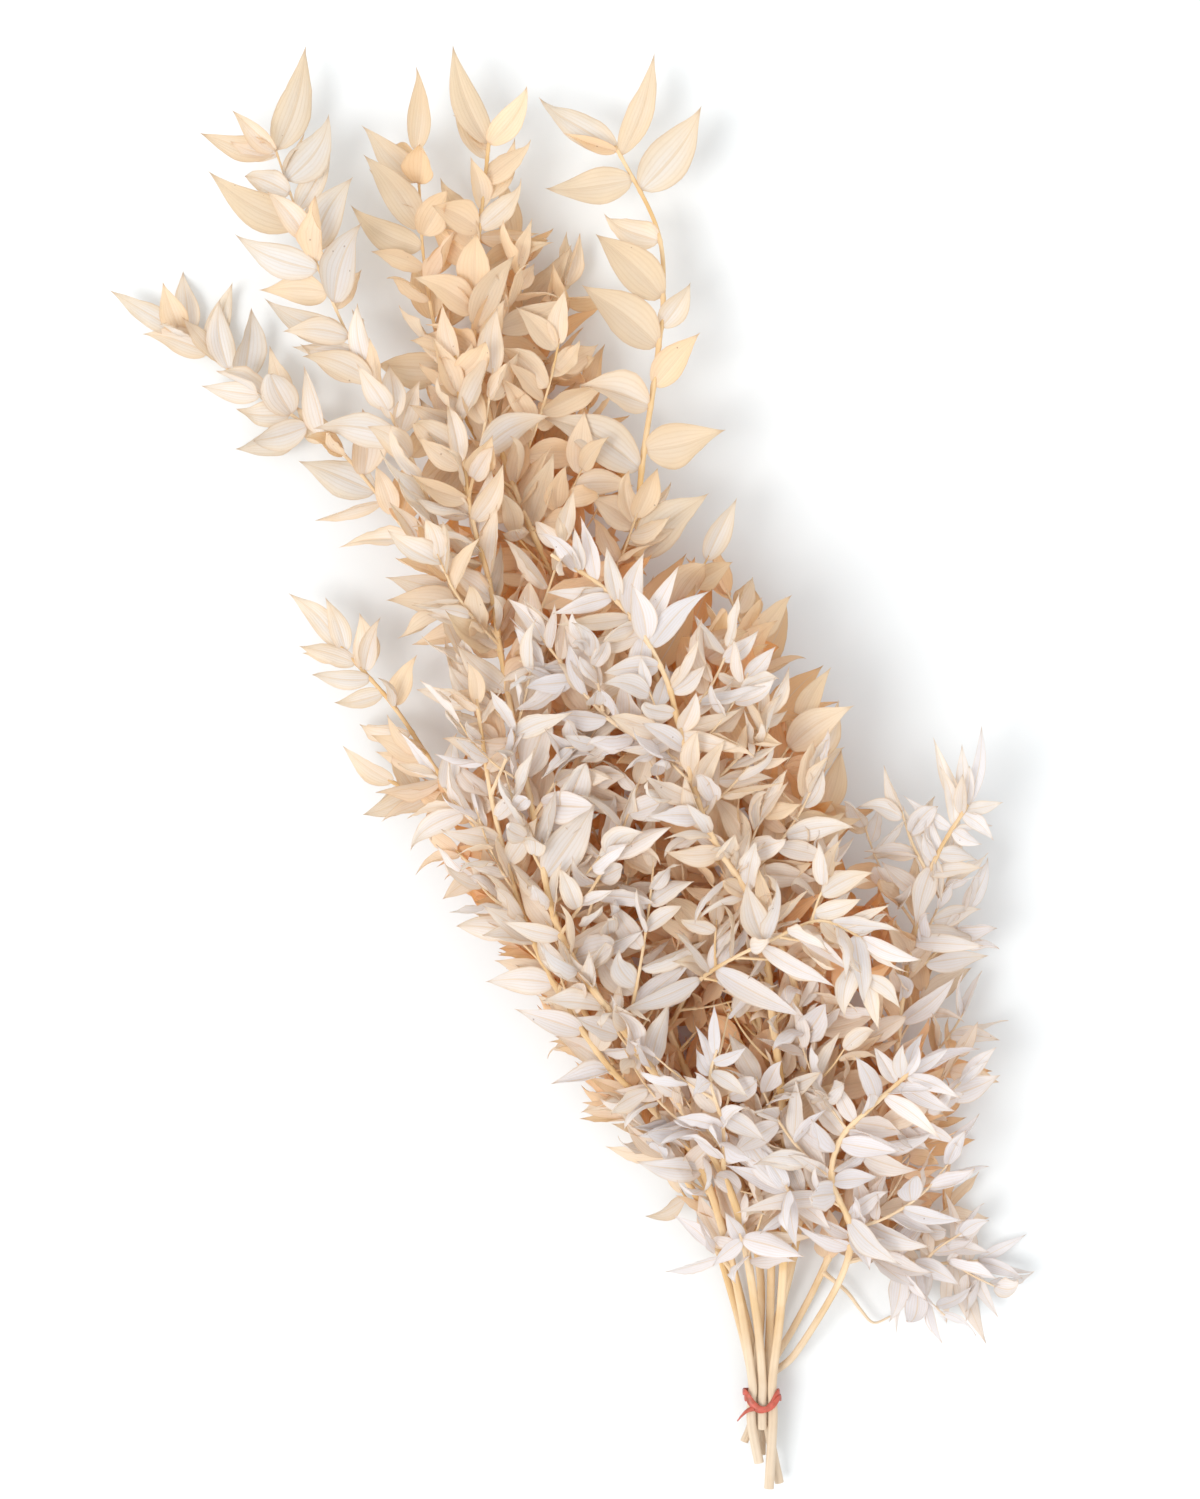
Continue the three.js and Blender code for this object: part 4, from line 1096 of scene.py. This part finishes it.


def add_leaf(shape, leaf, path, tone, depth, draw):
    """A blade on the smooth wood, with fewer faces where it lies deep in the bunch."""
    offset = path.smooth(leaf["share"]) - path.straight(leaf["share"])
    places, faces = PLAIN_BLADE if depth > PLAIN_DEPTH else FINE_BLADE
    points = blade_points(leaf, places, offset, draw)
    u, v, _ = places.T
    uv = np.column_stack([u, (v + 1) / 2])
    # Long leaves of the upper half are drawn darker: painted shade.
    darker = leaf["length"] > BIG_LEAF and leaf["base"][1] > 0
    light = draw() - (1 if darker else 0)
    # The depth lets the material paint warm shade on the leaves that lie deep in the bunch.
    shape.add(points, faces, uv, tone=tone, depth=depth, light=light, chance=draw())


# ---- The wood ----

RING_GAP, FEWEST_RINGS = 1.5, 6
MAIN_SIDES, TWIG_SIDES = 12, 7
NODE_SWELL, NODE_SPREAD = 0.24, 1.1  # the swelling where a leaf grows, and how far it reaches
COLLAR_SWELL, COLLAR_SPREAD = 0.5, 1.6  # the same at the root of a spray or twig
GRAIN_RUN = 10  # the length of wood for each unit of its uv
SLENDER = {"main": 1.5, "spray": 0.6, "twig": 0.7, "more": 0.7}  # how early an axis grows thin
FINE_RADIUS = {"spray": (1.3, 0.5), "twig": (0.95, 0.45), "more": (0.75, 0.35)}
MAIN_TIP_RADIUS = 0.85
MAIN_TONE = 0.4  # how bleached a main axis is, as a share of its twigs


def wood_radius(ends, share, walked, nodes, kind):
    """The radius at a share of an axis: tapered, and swollen at its nodes and its root."""
    size = ends[0] + (ends[1] - ends[0]) * share ** SLENDER[kind]
    size *= 1 + NODE_SWELL * np.exp(-(((walked - nodes) / NODE_SPREAD) ** 2)).max(initial=0)
    if kind == "main":
        return size
    return size * (1 + COLLAR_SWELL * math.exp(-walked / COLLAR_SPREAD))


def tube(path, ends, sides, leaf_shares, kind):
    """An axis as a smooth tapered tube: its points, faces, uv and where the cut shows."""
    count = max(FEWEST_RINGS, int(path.length / RING_GAP))
    shares = np.linspace(0, 1, count + 1)
    centres = np.array([path.smooth(share) for share in shares])
    walked = np.concatenate([[0], np.cumsum(np.linalg.norm(np.diff(centres, axis=0), axis=1))])
    nodes = np.interp(leaf_shares, shares, walked) if leaf_shares else np.zeros(0)
    points, uv = [], []
    side = UP
    for i, centre in enumerate(centres):
        along = unit(centres[min(i + 1, count)] - centres[max(i - 1, 0)])
        side = unit(side - along * (side @ along))
        across = np.cross(along, side)
        size = wood_radius(ends, shares[i], walked[i], nodes, kind)
        for k in range(sides):
            angle = 2 * math.pi * k / sides
            points.append(centre + size * (side * math.cos(angle) + across * math.sin(angle)))
            uv.append((walked[i] / GRAIN_RUN, k / sides))
    faces = wall_faces(count + 1, sides)
    for ring in (0, count):
        middle = len(points)
        points.append(centres[ring])
        uv.append((0, 0.5))
        for k in range(sides):
            a, b = ring * sides + k, ring * sides + (k + 1) % sides
            faces.append((middle, b, a) if ring == 0 else (middle, a, b))
    points = np.array(points)
    points[:, 2] = np.maximum(points[:, 2], LOWEST)
    cut = np.zeros(len(points))
    cut[-2] = 1 if kind == "main" else 0
    return points, faces, np.array(uv), cut


def add_axis(shape, axis, leaves, tone, draw):
    """The wood of a main axis, spray or twig."""
    kind = axis["kind"]
    leaf_shares = sorted(leaf["share"] for leaf in leaves)
    if kind == "main":
        ends, sides, tone = (axis["radius"], MAIN_TIP_RADIUS), MAIN_SIDES, MAIN_TONE * tone
    else:
        ends, sides = FINE_RADIUS[kind], TWIG_SIDES
    points, faces, uv, cut = tube(axis["path"], ends, sides, leaf_shares, kind)
    shape.add(points, faces, uv, cut=cut, tone=tone, chance=draw())


# ---- Materials ----

class Look:
    """A material, built up node by node."""

    def __init__(self, name):
        self.material = bpy.data.materials.new(name)
        self.material.use_nodes = True
        self.tree = self.material.node_tree
        self.tree.nodes.clear()

    def node(self, kind, inputs=None, **settings):
        made = self.tree.nodes.new("ShaderNode" + kind)
        for name, value in settings.items():
            setattr(made, name, value)
        for name, value in (inputs or {}).items():
            if isinstance(value, bpy.types.NodeSocket):
                self.tree.links.new(value, made.inputs[name])
            else:
                made.inputs[name].default_value = value
        return made

    def maths(self, operation, *values):
        return self.node("Math", dict(enumerate(values)), operation=operation).outputs[0]

    def plus(self, first, second):
        return self.maths("ADD", first, second)

    def minus(self, first, second):
        return self.maths("SUBTRACT", first, second)

    def times(self, first, second):
        return self.maths("MULTIPLY", first, second)

    def blend(self, share, first, second, mode="MIX"):
        inputs = {0: share, 6: first, 7: second}
        return self.node("Mix", inputs, data_type="RGBA", blend_type=mode).outputs[2]

    def rise(self, value, low, high, most=1.0):
        """0 where the value is below low, and most where it is above high."""
        inputs = {"Value": value, "From Min": low, "From Max": high, "To Max": most}
        return self.node("MapRange", inputs, interpolation_type="SMOOTHSTEP").outputs[0]

    def value_of(self, name):
        """What the shape's points say under a name."""
        return self.node("Attribute", attribute_name=name).outputs["Fac"]

    def place(self):
        return self.node("TexCoord").outputs["Object"]

    def surface(self):
        """The two values of the uv."""
        uv = self.node("UVMap", uv_map="surface").outputs[0]
        return self.node("SeparateXYZ", {0: uv}).outputs[:2]

    def noise(self, place, scale, detail=3.0):
        inputs = {"Vector": place, "Scale": scale, "Detail": detail}
        return self.node("TexNoise", inputs).outputs[0]

    def bump(self, height, strength, depth):
        """Small relief, in metres, that only the light shows."""
        inputs = {"Height": height, "Strength": strength, "Distance": depth}
        return self.node("Bump", inputs).outputs[0]

    def skin(self, colour, roughness, shine, bump=None):
        inputs = {"Base Color": colour, "Roughness": roughness, "Specular IOR Level": shine}
        if bump is not None:
            inputs["Normal"] = bump
        return self.node("BsdfPrincipled", inputs).outputs[0]

    def finished(self, surface):
        self.node("OutputMaterial", {"Surface": surface})
        return self.material


PAPER = (0.95, 0.94, 0.935, 1)
LILAC = (0.93, 0.935, 0.985, 1)
CREAM = (0.955, 0.865, 0.725, 1)
# Honey is the own colour of golden leaves and also painted shade on deep ones; the amber after it is
# painted shade only.
HONEY = (0.965, 0.80, 0.55, 1)
PAINTED_SHADE_AMBER = (0.96, 0.68, 0.36, 1)
TAN = (0.68, 0.46, 0.26, 1)
VEIN = (0.80, 0.62, 0.40, 1)
BROWN = (0.28, 0.13, 0.05, 1)
GLOW = (1.0, 0.95, 0.88, 1)  # the tint of the light that comes through a leaf
# The warmer tint of the light through leaves that lie deep is painted shade.
PAINTED_SHADE_GLOW = (1.0, 0.86, 0.66, 1)
THINNESS = 0.52  # the share of a leaf's light that comes through it
LIGHT_SPREAD = 0.08  # how much of its light a draw may take from a leaf
PATCH_SCALE, CLOUD_SCALE, CLOUD_SWING = 90.0, 16.0, 1.2
VEIN_WAVE, VEIN_SWAY = 56.0, 3.0  # radians over the width, and how far the patches bend them
# How small the specks are, and the shares of the cells and of the leaves that have none.
SPECKS = {"scale": 380.0, "size": 0.17, "free_cells": 0.97, "free_leaves": 0.6}


def leaf_material():
    look = Look("dried_leaf")
    rise, times = look.rise, look.times
    u, across = look.surface()
    edge = look.maths("ABSOLUTE", look.maths("MULTIPLY_ADD", across, 2.0, -1.0))
    place = look.place()
    tone, depth, light, chance = (look.value_of(name) for name in ("tone", "depth", "light", "chance"))
    patches = look.noise(place, PATCH_SCALE)
    cloud = look.noise(place, CLOUD_SCALE, detail=2.0)

    # White to lilac in the middle and at the base, cream to the rim and the tip: the leaves' own
    # colour, made stronger toward the rim as painted shade that rounds the blade.
    tone = look.plus(tone, times(look.minus(cloud, 0.5), CLOUD_SWING))
    pale = look.blend(rise(tone, 0.2, 1.0), PAPER, LILAC)
    outer = look.maths("MAXIMUM", rise(edge, 0.15, 1.1, most=0.75), rise(u, 0.3, 1.0, most=0.65))
    warmth = look.plus(outer, look.maths("MULTIPLY_ADD", tone, -0.7, 0.08))
    warmth = look.plus(warmth, times(patches, 0.5))
    colour = look.blend(rise(warmth, 0.1, 1.2), pale, CREAM)

    # Golden for some leaves at random, and honey to amber as painted warm shade on those that lie deep.
    golden = look.minus(rise(chance, 0.3, 1.0), tone)
    colour = look.blend(rise(golden, 0.0, 1.0, most=0.6), colour, HONEY)
    colour = look.blend(rise(depth, 0.05, 0.65, most=0.8), colour, HONEY)
    colour = look.blend(rise(depth, 0.4, 1.0, most=0.95), colour, PAINTED_SHADE_AMBER)

    # Tan at the tip, along the rim and at the base.
    browned = look.maths("MAXIMUM", rise(u, 0.86, 1.0, most=0.6), rise(edge, 0.88, 1.0, most=0.35))
    root = rise(look.minus(1.0, u), 0.93, 1.0, most=0.6)
    colour = look.blend(look.maths("MAXIMUM", browned, root), colour, TAN)

    # Fine veins run from the base to the tip beside the midrib.
    sway = times(look.minus(patches, 0.5), VEIN_SWAY)
    vein = rise(look.maths("SINE", look.maths("MULTIPLY_ADD", across, VEIN_WAVE, sway)), 0.1, 1.0)
    beside = look.minus(1.0, rise(edge, 0.03, 0.10))
    midrib = look.minus(1.0, rise(edge, 0.0, 0.05))
    colour = look.blend(times(vein, 0.17), colour, VEIN)
    colour = look.blend(times(beside, 0.45), colour, VEIN)
    colour = look.blend(times(midrib, 0.5), colour, CREAM)

    # Small brown specks on some of the leaves.
    cells = look.node("TexVoronoi", {"Vector": place, "Scale": SPECKS["scale"]})
    drawn = look.node("SeparateXYZ", {0: cells.outputs["Color"]}).outputs[0]
    dot = look.maths("LESS_THAN", cells.outputs["Distance"], SPECKS["size"])
    speck = times(dot, look.maths("GREATER_THAN", drawn, SPECKS["free_cells"]))
    speck = times(speck, look.maths("GREATER_THAN", chance, SPECKS["free_leaves"]))
    colour = look.blend(times(speck, 0.5), colour, BROWN)

    # The light gives each leaf a random tone, and painted shade on the long leaves of the upper half.
    shade = look.maths("MULTIPLY_ADD", light, LIGHT_SPREAD, 1 - LIGHT_SPREAD)
    grey = look.node("CombineXYZ", {0: shade, 1: shade, 2: shade}).outputs[0]
    colour = look.blend(1.0, colour, grey, "MULTIPLY")
    relief = look.plus(times(vein, 0.5), times(patches, 1.2))
    bump = look.bump(relief, strength=0.4, depth=0.3 * MM)
    # Painted shade: deep leaves let warmer light through.
    glow = look.blend(rise(depth, 0.1, 0.8), GLOW, PAINTED_SHADE_GLOW)
    through = look.blend(1.0, colour, glow, "MULTIPLY")
    thin = look.node("BsdfTranslucent", {"Color": through, "Normal": bump}).outputs[0]
    skin = look.skin(colour, roughness=0.45, shine=0.4, bump=bump)
    return look.finished(look.node("MixShader", {0: THINNESS, 1: skin, 2: thin}).outputs[0])


STRAW = (0.66, 0.40, 0.15, 1)
PALE_STRAW = (0.79, 0.565, 0.32, 1)
BLEACHED = (0.80, 0.71, 0.60, 1)
BARE_STRAW = (0.58, 0.495, 0.405, 1)
# How fine the grain is along and round the wood, and how far apart that of two stems is.
GRAIN = {"along": 0.5, "round": 26.0, "apart": 40.0}
WOOD_PATCH_SCALE = 45.0
BARE_FROM, BARE_TO = -0.31, -0.22  # metres along Y, where the bare lower ends turn golden
PITH = (0.80, 0.71, 0.57, 1)
PALE_FLOOR = (0.755, 0.785, 0.80, 1)


def wood_material():
    look = Look("dried_stem")
    place = look.place()
    along, around = look.surface()
    fibres = look.node("CombineXYZ", {
        0: look.times(along, GRAIN["along"]),
        1: look.times(around, GRAIN["round"]),
        2: look.times(look.value_of("chance"), GRAIN["apart"]),
    }).outputs[0]
    grain = look.noise(fibres, scale=1.0, detail=4.0)
    patches = look.noise(place, WOOD_PATCH_SCALE)
    colour = look.blend(look.rise(patches, 0.35, 0.65), STRAW, PALE_STRAW)
    colour = look.blend(look.times(look.value_of("tone"), 0.4), colour, BLEACHED)
    height = look.node("SeparateXYZ", {0: place}).outputs[1]
    bare = look.minus(1.0, look.rise(height, BARE_FROM, BARE_TO))
    colour = look.blend(look.times(bare, 0.65), colour, BARE_STRAW)
    colour = look.blend(look.rise(grain, 0.5, 0.75, most=0.35), colour, TAN)
    colour = look.blend(look.value_of("cut"), colour, PITH)
    bump = look.bump(grain, strength=0.6, depth=0.4 * MM)
    return look.finished(look.skin(colour, roughness=0.55, shine=0.4, bump=bump))


def floor_material():
    look = Look("pale_floor")
    return look.finished(look.skin(PALE_FLOOR, roughness=0.9, shine=0.1))


# ---- The rubber band ----

BAND_STEPS = 8  # points round each corner of the bundle
BAND_STEP = 1.2  # between the points on its flat sides
BAND_SECTION = 10
STRAND_WIDTH, STRAND_THICKNESS = 2.6, 1.0
STRAND_FLATNESS = (0.6, 0.8)  # across and outwards; 1 is an ellipse, and less is squarer
STRAND_SAG, STRAND_RISE, STRAND_SHARE = 7.5, 3.6, 0.6
# Each turn round the bundle: its distance from the stems, its slant, its sag and its unevenness.
STRANDS = [(0.15, BAND_CROSS, STRAND_SAG, 0.4), (0.95, -BAND_CROSS, STRAND_SAG * 0.85, 2.1)]
UNEVEN_WIDTH, UNEVEN_THICKNESS = (0.14, 3), (0.1, 5)  # how much, and how often in a turn
END_OUT, END_TURN, END_SAMPLES = np.array([-0.2, 0.15, 1.0]), 1.2, 6
END_WIDTH, END_TAPER = 0.9, 0.3  # shares of the strand's size


def bundle_outline(distance):
    """Points round the outer stems of the bundle, with their outward directions, as (x, z)."""
    corners = [
        np.array([TIE_X + column * BUNDLE_PITCH, BUNDLE_LOW + row * BUNDLE_ROW])
        for column, row in BUNDLE_CORNERS
    ]
    outline = []
    for i, corner in enumerate(corners):
        before, after = corners[i - 1], corners[(i + 1) % len(corners)]
        (x0, z0), (x1, z1) = corner - before, after - corner
        start, end = math.atan2(-x0, z0), math.atan2(-x1, z1)
        sweep = (end - start) % (2 * math.pi)
        for k in range(BAND_STEPS + 1):
            angle = start + sweep * k / BAND_STEPS
            out = np.array([math.cos(angle), math.sin(angle)])
            outline.append((corner + distance * out, out))
        edge = np.linalg.norm(after - corner)
        out = np.array([math.cos(end), math.sin(end)])
        for k in range(1, int(edge / BAND_STEP)):
            share = k * BAND_STEP / edge
            outline.append((corner + (after - corner) * share + distance * out, out))
    return outline


def rounded(value, flatness):
    return math.copysign(abs(value) ** flatness, value)


def band_ring(centre, along, out, width, thickness, flatness=(1, 1)):
    """A ring of points round the band's section."""
    out = unit(out - along * (out @ along))
    across = np.cross(along, out)
    ring = []
    for k in range(BAND_SECTION):
        angle = 2 * math.pi * (k + 0.5) / BAND_SECTION
        wide = rounded(math.cos(angle), flatness[0]) * width / 2
        thick = rounded(math.sin(angle), flatness[1]) * thickness / 2
        ring.append(centre + across * wide + out * thick)
    return ring


def band_faces(rings, closed=False):
    return [(a, d, c, b) for a, b, c, d in wall_faces(rings, BAND_SECTION, closed)]


def uneven(size, turns, phase, swing, waves):
    return size * (1 + swing * np.sin(waves * turns + phase))


def add_strand(shape, gap, slant, sag, phase):
    """One turn of the band round the bundle, which sags between its upper corners."""
    distance = BUNDLE_STEM_RADIUS + gap
    half = BUNDLE_PITCH + distance
    centres, outs = [], []
    for (x, z), (out_x, out_z) in bundle_outline(distance + STRAND_THICKNESS / 2):
        across = (x - TIE_X) / half
        top = max(0.0, out_z)
        y = TIE_Y + slant * (x - TIE_X) + STRAND_RISE * (1 - top) * STRAND_SHARE
        y += top * (STRAND_RISE * across**2 - sag * (1 - across**2) * STRAND_SHARE)
        centres.append(np.array([x, y, z]))
        outs.append(np.array([out_x, 0, out_z]))
    count = len(centres)
    turns = 2 * math.pi * np.arange(count) / count
    width = uneven(STRAND_WIDTH, turns, phase, *UNEVEN_WIDTH)
    thickness = uneven(STRAND_THICKNESS, turns, phase, *UNEVEN_THICKNESS)
    points = []
    for i, centre in enumerate(centres):
        along = unit(centres[(i + 1) % count] - centres[i - 1])
        points += band_ring(centre, along, outs[i], width[i], thickness[i], STRAND_FLATNESS)
    points = np.array(points)
    points[:, 2] = np.maximum(points[:, 2], 0)
    shape.add(points, band_faces(count, closed=True))


def add_band_end(shape):
    """The loose end, which narrows and turns over."""
    centres = Path(BAND_END, END_SAMPLES).runs
    last = len(centres) - 1
    points = []
    for i, centre in enumerate(centres):
        share = i / last
        along = unit(centres[min(i + 1, last)] - centres[max(i - 1, 0)])
        out = unit(END_OUT - along * (END_OUT @ along))
        out = turned(out, np.cross(along, out), END_TURN * share)
        width = STRAND_WIDTH * (END_WIDTH - END_TAPER * share)
        thickness = STRAND_THICKNESS * (1 - END_TAPER * share)
        points += band_ring(centre, along, out, width, thickness)
    start_cap = tuple(range(BAND_SECTION))
    end_cap = tuple(last * BAND_SECTION + k for k in reversed(start_cap))
    shape.add(np.array(points), [*band_faces(last + 1), start_cap, end_cap])


RUBBER = (0.50, 0.07, 0.042, 1)
RUBBER_DEEP = (0.28, 0.045, 0.018, 1)
RUBBER_PATCH_SCALE = 420.0
BAND_CREASE = 60  # degrees


def rubber_material():
    look = Look("band_rubber")
    patches = look.noise(look.place(), RUBBER_PATCH_SCALE)
    colour = look.blend(look.rise(patches, 0.35, 0.75), RUBBER, RUBBER_DEEP)
    bump = look.bump(patches, strength=0.3, depth=0.3 * MM)
    return look.finished(look.skin(colour, roughness=0.42, shine=0.45, bump=bump))


def build_band():
    shape = Shape()
    for strand in STRANDS:
        add_strand(shape, *strand)
    add_band_end(shape)
    piece = shape.build("rubber_band", rubber_material(), BAND_CREASE)
    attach(piece, "root")
    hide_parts("tie_band")


# ---- The bunch ----

# How bleached each stem is.
STEM_TONES = (0.55, 0.5, 0.2, 0.05, 0.05, 0.8, 0.65, 0.8, 0.15, 0.3)
# Where the leaves are more bleached than round about, or less.
TONE_PATCHES = [
    {"x": -40, "y": 155, "half_x": 50, "half_y": 115, "rise": -0.55},
    {"x": -30, "y": -10, "half_x": 38, "half_y": 48, "rise": 0.5},
    {"x": 72, "y": -30, "half_x": 30, "half_y": 60, "rise": -0.35},
    {"x": 80, "y": -125, "half_x": 32, "half_y": 26, "rise": 0.4},
]
TONE = {"fall": 0.0012, "from": -60, "spread": 0.3, "slim_spray": 0.3}
LOOKS_SEED = 3  # added to an axis's seed, for what only the looks draw


def leaf_tone(stem, axis, leaf, draw):
    """How bleached a leaf is: less towards the tips, and by patches."""
    x, y, _ = leaf["base"]
    tone = STEM_TONES[stem] - TONE["fall"] * (y - TONE["from"]) + vary(draw, TONE["spread"])
    for patch in TONE_PATCHES:
        tone += patch["rise"] * math.exp(-spot_distance(patch, x, y) ** 2)
    if axis["kind"] == "spray" and axis["leaf"] is SLIM:
        tone += TONE["slim_spray"]
    return tone


def build_bunch():
    """A piece of leaves and a piece of wood for each stem."""
    leaf_look, wood_look = leaf_material(), wood_material()
    stem_axes = []
    for number, stem in enumerate(STEMS):
        axes = axes_of(stem)
        stem_axes.append([
            *axes, *more_twigs(number, stem), *side_twigs(number, axes), *low_twigs(number, stem),
        ])
    found = set_leaves(stem_axes)
    canopy = Canopy(found)
    for stem, axes in enumerate(stem_axes):
        blades, wood = Shape(), Shape()
        for number, axis in enumerate(axes):
            leaves = found.get((stem, number), [])
            draw = seeded_draw(seed_of(stem, number) + LOOKS_SEED)
            add_axis(wood, axis, leaves, STEM_TONES[stem], draw)
            for leaf in leaves:
                tone = leaf_tone(stem, axis, leaf, draw)
                add_leaf(blades, leaf, axis["path"], tone, canopy.depth(leaf), draw)
        for shape, label, look in ((blades, "leaves", leaf_look), (wood, "wood", wood_look)):
            piece = shape.build(f"ruscus_{label}_{stem + 1:02d}", look)
            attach(piece, "root")
            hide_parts(node_name(stem))


# ---- Floor, light and camera ----

FLOOR_SIDE = 12.0
CAMERA_HEIGHT = 3.0
VIEW_HEIGHT = 697.035 * MM  # what the view covers at the floor, from top to bottom
FARTHEST = 50
WHITE, SKY_STRENGTH = (1.0, 1.0, 1.0, 1), 1.2
SUN = {"strength": 1.8, "spread": 28, "colour": (1.0, 0.99, 0.975), "towards": (0.55, 0.28, -1.0)}
BOUNCES, DIFFUSE_BOUNCES = 14, 10
EXPOSURE, GAMMA = -0.12, 1.15


def make_floor():
    half = FLOOR_SIDE / 2
    mesh = bpy.data.meshes.new("floor")
    corners = [(-half, -half, 0), (half, -half, 0), (half, half, 0), (-half, half, 0)]
    mesh.from_pydata(corners, [], [(0, 1, 2, 3)])
    mesh.materials.append(floor_material())
    floor = new_object("floor", mesh)


def make_light():
    world = bpy.data.worlds.new("studio")
    world.use_nodes = True
    background = world.node_tree.nodes["Background"]
    background.inputs["Color"].default_value = WHITE
    background.inputs["Strength"].default_value = SKY_STRENGTH
    bpy.context.scene.world = world
    data = bpy.data.lights.new("key", "SUN")
    data.energy = SUN["strength"]
    data.angle = math.radians(SUN["spread"])
    data.color = SUN["colour"]
    key = new_object("key", data)
    key.rotation_euler = Vector(SUN["towards"]).to_track_quat("-Z", "Y").to_euler()


def make_camera():
    data = bpy.data.cameras.new("camera")
    data.lens = data.sensor_width * CAMERA_HEIGHT / VIEW_HEIGHT
    data.clip_end = FARTHEST
    camera = new_object("camera", data)
    camera.location = (SHIFT[0] * MM, SHIFT[1] * MM, CAMERA_HEIGHT)
    bpy.context.scene.camera = camera


def set_colours():
    cycles = bpy.context.scene.cycles
    cycles.diffuse_bounces = DIFFUSE_BOUNCES
    cycles.max_bounces = BOUNCES
    view = bpy.context.scene.view_settings
    view.view_transform = "Standard"
    view.look = "None"
    view.exposure = EXPOSURE
    view.gamma = GAMMA


make_camera()
make_light()
set_colours()
make_floor()
build_bunch()
build_band()
